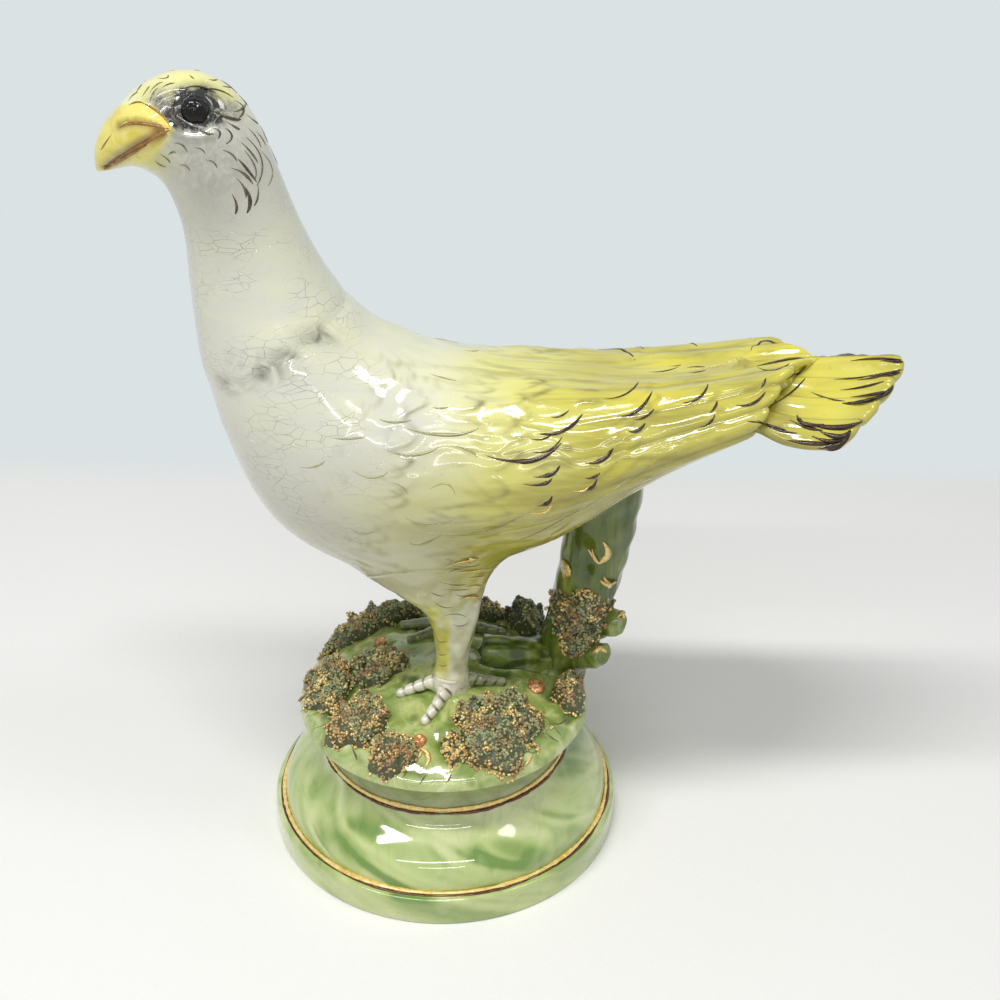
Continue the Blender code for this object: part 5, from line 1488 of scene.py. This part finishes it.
# brush strokes: three picture places each, and a width in millimetres
strokes = {
    "wingDark": [
        (487, 456, 528, 461, 561, 443, 0.85), (531, 439, 542, 439, 551, 435, 0.45),
        (540, 434, 563, 430, 582, 414, 0.95), (551, 417, 560, 416, 569, 410, 0.4),
        (533, 452, 549, 450, 562, 437, 0.4), (533, 477, 549, 475, 560, 465, 0.7),
        (523, 484, 541, 485, 552, 478, 0.6), (537, 506, 546, 504, 552, 496, 0.7),
        (585, 463, 601, 460, 613, 448, 0.75), (585, 478, 592, 478, 600, 473, 0.5),
        (585, 490, 591, 488, 597, 479, 0.55), (618, 416, 637, 410, 652, 391, 0.85),
        (633, 420, 644, 417, 654, 409, 0.6), (628, 431, 637, 430, 645, 423, 0.8),
        (604, 399, 625, 394, 639, 381, 0.55), (683, 403, 699, 397, 708, 384, 0.6),
        (709, 413, 714, 408, 717, 401, 0.6), (700, 427, 709, 423, 715, 414, 0.45),
        (736, 405, 752, 403, 765, 392, 0.8), (761, 389, 763, 384, 766, 378, 0.5),
        (633, 363, 642, 361, 650, 358, 0.5), (669, 366, 683, 364, 690, 357, 0.45),
        (688, 373, 697, 372, 706, 370, 0.4), (730, 357, 768, 351, 801, 352, 1.0),
        (757, 366, 782, 360, 805, 358, 1.0), (786, 380, 798, 373, 807, 366, 0.8),
        (770, 406, 790, 393, 806, 377, 0.5), (757, 367, 773, 370, 790, 363, 0.45),
        (648, 372, 664, 371, 678, 367, 0.4)],
    "wingGold": [
        (526, 513, 543, 513, 551, 506, 0.5), (573, 491, 583, 491, 588, 487, 0.4),
        (679, 405, 687, 404, 694, 400, 0.5), (741, 398, 755, 395, 764, 386, 0.45),
        (690, 369, 715, 366, 737, 358, 0.4), (644, 359, 660, 357, 676, 353, 0.4)],
    "tailDark": [
        (834, 379, 868, 376, 902, 369, 0.75), (842, 403, 864, 400, 889, 392, 1.1),
        (850, 397, 870, 394, 890, 390, 0.7), (811, 392, 828, 398, 845, 401, 0.4),
        (797, 415, 805, 423, 824, 424, 0.8), (806, 422, 835, 426, 862, 421, 1.1),
        (818, 430, 838, 435, 850, 430, 1.2), (818, 449, 836, 444, 849, 431, 1.3),
        (747, 421, 769, 425, 786, 430, 0.45), (787, 440, 807, 444, 831, 444, 0.7),
        (880, 361, 894, 360, 904, 362, 0.7), (850, 361, 877, 358, 904, 360, 0.6),
        (857, 380, 880, 376, 900, 372, 0.8), (862, 403, 880, 396, 893, 385, 0.9),
        (790, 420, 808, 427, 823, 430, 0.6), (757, 420, 777, 429, 797, 433, 0.45),
        (812, 436, 832, 440, 848, 434, 0.9), (840, 390, 860, 387, 884, 381, 0.45)],
    "headDark": [
        (214, 111, 229, 117, 241, 119, 0.9), (234, 100, 244, 108, 239, 118, 0.6),
        (213, 128, 220, 132, 218, 139, 0.5), (225, 128, 232, 136, 226, 144, 0.5),
        (246, 137, 262, 160, 257, 186, 0.7), (238, 159, 248, 170, 257, 182, 0.6),
        (258, 184, 258, 197, 254, 206, 0.55), (244, 186, 250, 200, 247, 213, 0.7),
        (232, 194, 236, 205, 235, 214, 0.6), (182, 89, 199, 86, 216, 93, 0.8),
        (196, 128, 206, 133, 214, 134, 0.5), (171, 112, 173, 119, 180, 123, 0.9),
        (176, 98, 172, 106, 174, 114, 0.8), (197, 90, 216, 89, 234, 98, 0.6)],
    "headOlive": [
        (227, 122, 236, 127, 240, 129, 0.5), (241, 142, 252, 153, 258, 163, 0.6),
        (231, 168, 244, 174, 253, 184, 0.5), (246, 114, 255, 121, 258, 123, 0.5),
        (233, 112, 243, 108, 246, 102, 0.45), (155, 161, 160, 165, 166, 167, 0.45),
        (174, 143, 182, 145, 187, 152, 0.45), (157, 78, 166, 78, 168, 75, 0.4),
        (189, 75, 192, 77, 194, 79, 0.4), (208, 79, 213, 80, 218, 79, 0.4),
        (142, 97, 147, 89, 150, 86, 0.5), (149, 104, 153, 93, 158, 88, 0.45),
        (135, 94, 139, 88, 142, 84, 0.5), (222, 86, 234, 89, 240, 96, 0.45),
        (168, 155, 173, 152, 176, 153, 0.35), (256, 131, 262, 138, 266, 146, 0.4),
        (160, 154, 167, 159, 170, 163, 0.4), (244, 150, 255, 166, 255, 180, 0.5),
        (236, 178, 244, 188, 246, 198, 0.45), (222, 150, 231, 154, 237, 161, 0.4),
        (248, 128, 257, 138, 261, 148, 0.45), (180, 165, 186, 166, 190, 171, 0.35),
        (194, 148, 201, 149, 205, 154, 0.35), (206, 160, 213, 162, 217, 168, 0.35),
        (128, 101, 133, 95, 138, 92, 0.5), (162, 88, 168, 84, 175, 83, 0.5),
        (150, 92, 156, 85, 163, 82, 0.45)],
    "headGold": [(259, 149, 272, 168, 268, 186, 0.9)],
    # soft sage lines on the flank: painted shade along the creases of its moulded scallops
    "flankScallopShade": [
        (384, 449, 412, 455, 439, 447, 0.7), (379, 419, 393, 422, 411, 420, 0.6),
        (402, 427, 445, 435, 479, 428, 0.8), (405, 517, 427, 526, 454, 519, 0.8),
        (409, 542, 421, 545, 441, 535, 0.7), (350, 528, 362, 534, 375, 531, 0.6),
        (330, 437, 345, 439, 366, 437, 0.5), (300, 467, 314, 467, 325, 461, 0.5),
        (455, 446, 468, 450, 477, 457, 0.6), (391, 482, 402, 487, 407, 494, 0.6),
        (430, 374, 441, 377, 457, 381, 0.6), (432, 407, 439, 408, 450, 407, 0.5),
        (462, 350, 473, 351, 479, 350, 0.5), (430, 489, 446, 484, 455, 494, 0.5),
        (470, 533, 500, 527, 535, 508, 0.6), (500, 546, 540, 532, 580, 508, 0.6),
        (560, 520, 600, 499, 640, 470, 0.5), (352, 470, 371, 478, 388, 472, 0.5)],
    "beakBrown": [
        (170, 130, 139, 146, 104, 169, 1.7), (120, 128, 135, 124, 169, 129, 1.2),
        (170, 127, 161, 115, 145, 104, 0.9), (146, 146, 124, 158, 104, 170, 1.0),
        (112, 134, 106, 142, 101, 150, 0.5), (145, 104, 137, 102, 129, 105, 0.6)],
    "thighGold": [
        (446, 567, 463, 562, 479, 559, 0.9), (456, 572, 468, 572, 481, 570, 0.6),
        (466, 578, 478, 578, 485, 576, 0.6), (463, 587, 474, 587, 481, 586, 0.6),
        (460, 600, 469, 598, 479, 600, 1.1)],
    "thighDark": [
        (440, 582, 455, 585, 466, 584, 0.3), (443, 589, 458, 590, 468, 589, 0.3),
        (449, 573, 454, 570, 464, 569, 0.4), (433, 601, 443, 607, 453, 607, 0.25),
        (443, 616, 456, 614, 466, 617, 0.25), (452, 566, 468, 567, 480, 564, 0.35),
        (452, 624, 460, 626, 468, 623, 0.25), (438, 640, 441, 642, 447, 641, 0.3),
        (437, 652, 441, 655, 446, 654, 0.3), (438, 664, 442, 666, 447, 665, 0.3),
        (455, 594, 464, 596, 478, 593, 0.3), (430, 592, 437, 595, 444, 596, 0.25)]}

# strokes on the stump and mound, seen from the front only
groundStrokes = {
    "stumpGold": [
        (592, 549, 594, 559, 599, 564, 0.9), (598, 564, 606, 555, 603, 542, 1.0),
        (588, 549, 590, 553, 592, 557, 0.6), (600, 580, 607, 586, 617, 582, 1.6),
        (604, 577, 606, 584, 611, 588, 1.2), (562, 573, 565, 567, 569, 576, 1.6),
        (563, 578, 566, 573, 571, 571, 1.0), (617, 618, 621, 614, 625, 618, 0.8),
        (592, 653, 599, 650, 606, 653, 0.9)],
    "moundGold": [
        (406, 764, 417, 757, 421, 749, 0.7), (423, 769, 428, 759, 424, 752, 0.7),
        (416, 748, 424, 750, 430, 757, 0.6), (404, 757, 411, 752, 416, 746, 0.5),
        (482, 764, 500, 766, 520, 758, 0.6), (537, 754, 539, 748, 536, 744, 0.5),
        (520, 768, 527, 762, 532, 754, 0.5), (452, 735, 458, 745, 468, 748, 1.0),
        (446, 749, 455, 752, 462, 747, 0.9)],
    "moundDark": [
        (419, 785, 423, 779, 426, 775, 0.4), (446, 783, 449, 779, 451, 774, 0.4),
        (402, 778, 405, 774, 407, 770, 0.35), (541, 729, 551, 737, 559, 742, 0.4),
        (548, 719, 556, 729, 561, 735, 0.35), (545, 716, 557, 724, 569, 716, 0.35),
        (569, 716, 573, 708, 570, 700, 0.35), (309, 717, 323, 711, 338, 710, 0.35),
        (313, 729, 331, 722, 342, 716, 0.35), (352, 748, 355, 754, 357, 760, 0.35),
        (516, 771, 522, 767, 527, 761, 0.4)]}

# how a stroke stands up, and how much fuller each set is than its width
strokeBody = {"steps": 22, "fewest": 5, "lift": 0.00022, "root": 0.0002, "edge": 0.00003, "crownGap": 0.001,
              "arc": (0.04, 0.96), "plump": 0.8, "thinStart": 0.5,
              "fuller": {"wingDark": 2.7, "wingGold": 2.4, "beakBrown": 1.5, "tailDark": 3.8, "headDark": 2.2,
                         "headOlive": 2.4, "headGold": 1.0, "flankScallopShade": 1.8, "thighGold": 4.4,
                         "thighDark": 1.5, "stumpGold": 4.6, "moundGold": 4.0, "moundDark": 2.6}}

# the finish and the slot of each set
strokeFinishes = {"wingDark": (darkStroke, "lemon_glaze"), "wingGold": (goldStroke, "lemon_glaze"),
                  "tailDark": (darkStroke, "lemon_glaze"), "headDark": (sepiaStroke, "ivory_glaze"),
                  "flankScallopShade": (scallopShadeStroke, "ivory_glaze"), "headOlive": (oliveStroke, "ivory_glaze"),
                  "headGold": (oliveStroke, "ivory_glaze"), "beakBrown": (beakLine, "ivory_glaze"),
                  "thighGold": (goldStroke, "ivory_glaze"), "thighDark": (oliveStroke, "ivory_glaze")}
groundFinishes = {"stumpGold": (goldStroke, "bark_green_glaze"),
                  "moundGold": (goldStroke, "grass_green_glaze"),
                  "moundDark": (oliveStroke, "grass_green_glaze")}


def strokeParts(tree, rows, side, widen):
    parts = []
    for x0, y0, x1, y1, x2, y2, wide in rows:
        track = throughThree([(x0, y0), (x1, y1), (x2, y2)], strokeBody["steps"])
        spots = [tree.ray_cast(Vector(camera["place"]), pixelRay(*spot)) for spot in track]
        spots = [spot for spot in spots if spot[0] is not None]
        if len(spots) < strokeBody["fewest"]:
            continue
        line = np.array([spot[0][:] for spot in spots])
        facing = unit(soften(np.array([spot[1][:] for spot in spots]), 1))
        if side < 0 and line[:, 1].max() > bird["offset"] - strokeBody["crownGap"]:
            continue  # it already runs over the crown
        if side < 0:
            line, facing = mirrored(line), facing * (1, -1, 1)
        across = unit(np.cross(facing, np.gradient(line, axis=0)))
        t = np.linspace(0, 1, len(line))[:, None]
        arc = math.pi * between(*strokeBody["arc"], t)
        plump = np.sin(arc) ** strokeBody["plump"] * between(strokeBody["thinStart"], 1, t)
        taper = plump * widen * wide / 2000  # half of a width in millimetres
        crown = line + facing * strokeBody["lift"] * plump
        root = line - facing * strokeBody["root"]
        ring = np.stack([line - across * taper, crown, line + across * taper, root], 1)
        ring[:, [0, 2]] += facing[:, None] * strokeBody["edge"]
        points, faces = tube(ring)
        parts.append((points, outward(points - points.mean(0), faces)))
    return parts


def buildStrokes(name, rows, tree, finish, slot, sides):
    points, quads, fans, start = [], [], [], 0
    for side in sides:
        for part, (partQuads, partFans) in strokeParts(tree, rows, side, strokeBody["fuller"][name]):
            points.append(part)
            quads.append(partQuads + start)
            fans.append(partFans + start)
            start += len(part)
    faceSets = [np.concatenate(quads), np.concatenate(fans)]
    dress(addPiece(name + "Strokes", np.concatenate(points), faceSets, finish), slot)


# pale table with an open backdrop, so the figure is seen from any side; lamps: place, width, height and power
studio = {"backdrop": (219, 226, 227), "sky": 0.34, "air": (0.95, 0.98, 1.0, 1.0), "aimHeight": 0.13,
          "lamps": [((-0.25, -0.30, 1.05), 0.80, 0.085, 6.6), ((-0.10, -0.80, 0.98), 0.90, 0.035, 1.7),
                    ((0.48, -0.16, 1.00), 0.26, 0.20, 1.2), ((0.0, -0.93, 0.70), 0.50, 0.02, 0.6)]}
paleTable = {"roughness": 0.9, "specular": 0.1, "shades": [(0.3, (248, 247, 244)), (0.7, (250, 249, 246))],
             "grain": (900, 2), "bump": 0.00005, "half": 2.2, "end": 0.250, "fade": 0.014,
             "clear": 0.50, "reach": 0.95}


def buildTable():
    mesh = bpy.data.meshes.new("paleTable")
    half, end = paleTable["half"], paleTable["end"] + paleTable["fade"]
    corners = [(-half, -half, 0), (half, -half, 0), (half, end, 0), (-half, end, 0)]
    mesh.from_pydata(corners, [], [(0, 1, 2, 3)])
    paper = Glaze("palePaper", paleTable)
    place = paper.add("ShaderNodeSeparateXYZ", {"Vector": paper.place})
    near = paper.ramp(place.outputs["Y"], (paleTable["end"] - paleTable["fade"], 1), (end, 0))
    far = paper.add("ShaderNodeVectorMath", {0: paper.place}, operation="LENGTH")
    edge = paper.ramp(far.outputs["Value"], (paleTable["clear"], 1), (paleTable["reach"], 0))
    paper.fill(paper.shader, {"Alpha": paper.times(near, edge)})
    grain = paper.noise(*paleTable["grain"])
    paper.shade = paper.ramp(grain, *paleTable["shades"])
    mesh.materials.append(paper.done(grain))
    table = bpy.data.objects.new("paleTable", mesh)
    bpy.context.scene.collection.objects.link(table)


def buildLamps():
    for number, (place, wide, tall, power) in enumerate(studio["lamps"]):
        lamp = bpy.data.lights.new(f"softbox{number}", "AREA")
        lamp.shape = "RECTANGLE"
        lamp.size = wide
        lamp.size_y = tall
        lamp.energy = power
        holder = bpy.data.objects.new(f"softbox{number}", lamp)
        holder.location = place
        aim = Vector((place[0], 0.0, studio["aimHeight"])) - Vector(place)
        holder.rotation_euler = aim.to_track_quat("-Z", "Y").to_euler()
        bpy.context.scene.collection.objects.link(holder)


def buildAir():  # soft light from all round, with a plain backdrop for the camera and for mirrored rays
    world = bpy.data.worlds.new("studioAir")
    world.use_nodes = True
    bench = NodeBench(world.node_tree)
    air = bench.tree.nodes["Background"]
    bench.fill(air, {"Color": studio["air"], "Strength": studio["sky"]})
    backdrop = bench.add("ShaderNodeBackground", {"Color": toneOf(studio["backdrop"])})
    rays = bench.add("ShaderNodeLightPath").outputs
    mirrors = bench.sums("MAXIMUM", rays["Is Glossy Ray"], rays["Is Transmission Ray"])
    seen = bench.sums("MAXIMUM", rays["Is Camera Ray"], mirrors)
    lights = {"Fac": seen, 1: air.outputs["Background"], 2: backdrop.outputs["Background"]}
    blend = bench.add("ShaderNodeMixShader", lights)
    bench.fill(bench.tree.nodes["World Output"], {"Surface": blend.outputs["Shader"]})
    bpy.context.scene.world = world
    bpy.context.scene.view_settings.view_transform = "Standard"


setCamera()
buildTable()
buildLamps()
buildAir()
print("studio set")

bothSides = {"left": 1, "right": -1}
birdBody = buildBody()
neckAndHead = buildNeck()
buildEyes()
hookedBeak = buildBeak(neckAndHead)
wings = {}
for wingName, wingSide in bothSides.items():
    wings[wingName] = buildWing(wingName + "Wing", wingSide)
    fillet(wings[wingName], birdBody, wing["fillet"])
    dress(wings[wingName], "lemon_glaze", wingName + "_wing")
fannedTail = buildTail()
fillet(fannedTail, birdBody, tail["fillet"])
print("bird's body, head, wings and tail modelled")

mossyMound = buildMound()
buildPlinth()
buildBands()
legPieces = {}
for legName, legSide in bothSides.items():
    legPieces[legName] = buildLeg(legName + "Leg", legSide)
    fillet(legPieces[legName], birdBody, legs["fillet"])
    buildFoot(legName, legSide, legPieces[legName])
    dress(legPieces[legName], "ivory_glaze", legName + "_leg")
print("plinth, mound, legs and feet modelled")

treeStump = buildStump(mossyMound, birdBody)
stubPieces = [buildStub(stubName, treeStump) for stubName in ("upper", "lower")]
buildBranch(mossyMound)
buildMoss()
buildPellets()
print("stump, branch, moss and pellets modelled")

birdTree = treeOf(birdBody, neckAndHead, hookedBeak, wings["left"], fannedTail, legPieces["left"])
for strokeName, (strokeFinish, strokeSlot) in strokeFinishes.items():
    buildStrokes(strokeName, strokes[strokeName], birdTree, strokeFinish, strokeSlot, bothSides.values())
groundTree = treeOf(treeStump, mossyMound, *stubPieces)
for strokeName, (strokeFinish, strokeSlot) in groundFinishes.items():
    buildStrokes(strokeName, groundStrokes[strokeName], groundTree, strokeFinish, strokeSlot, (1,))
print("brush strokes laid")
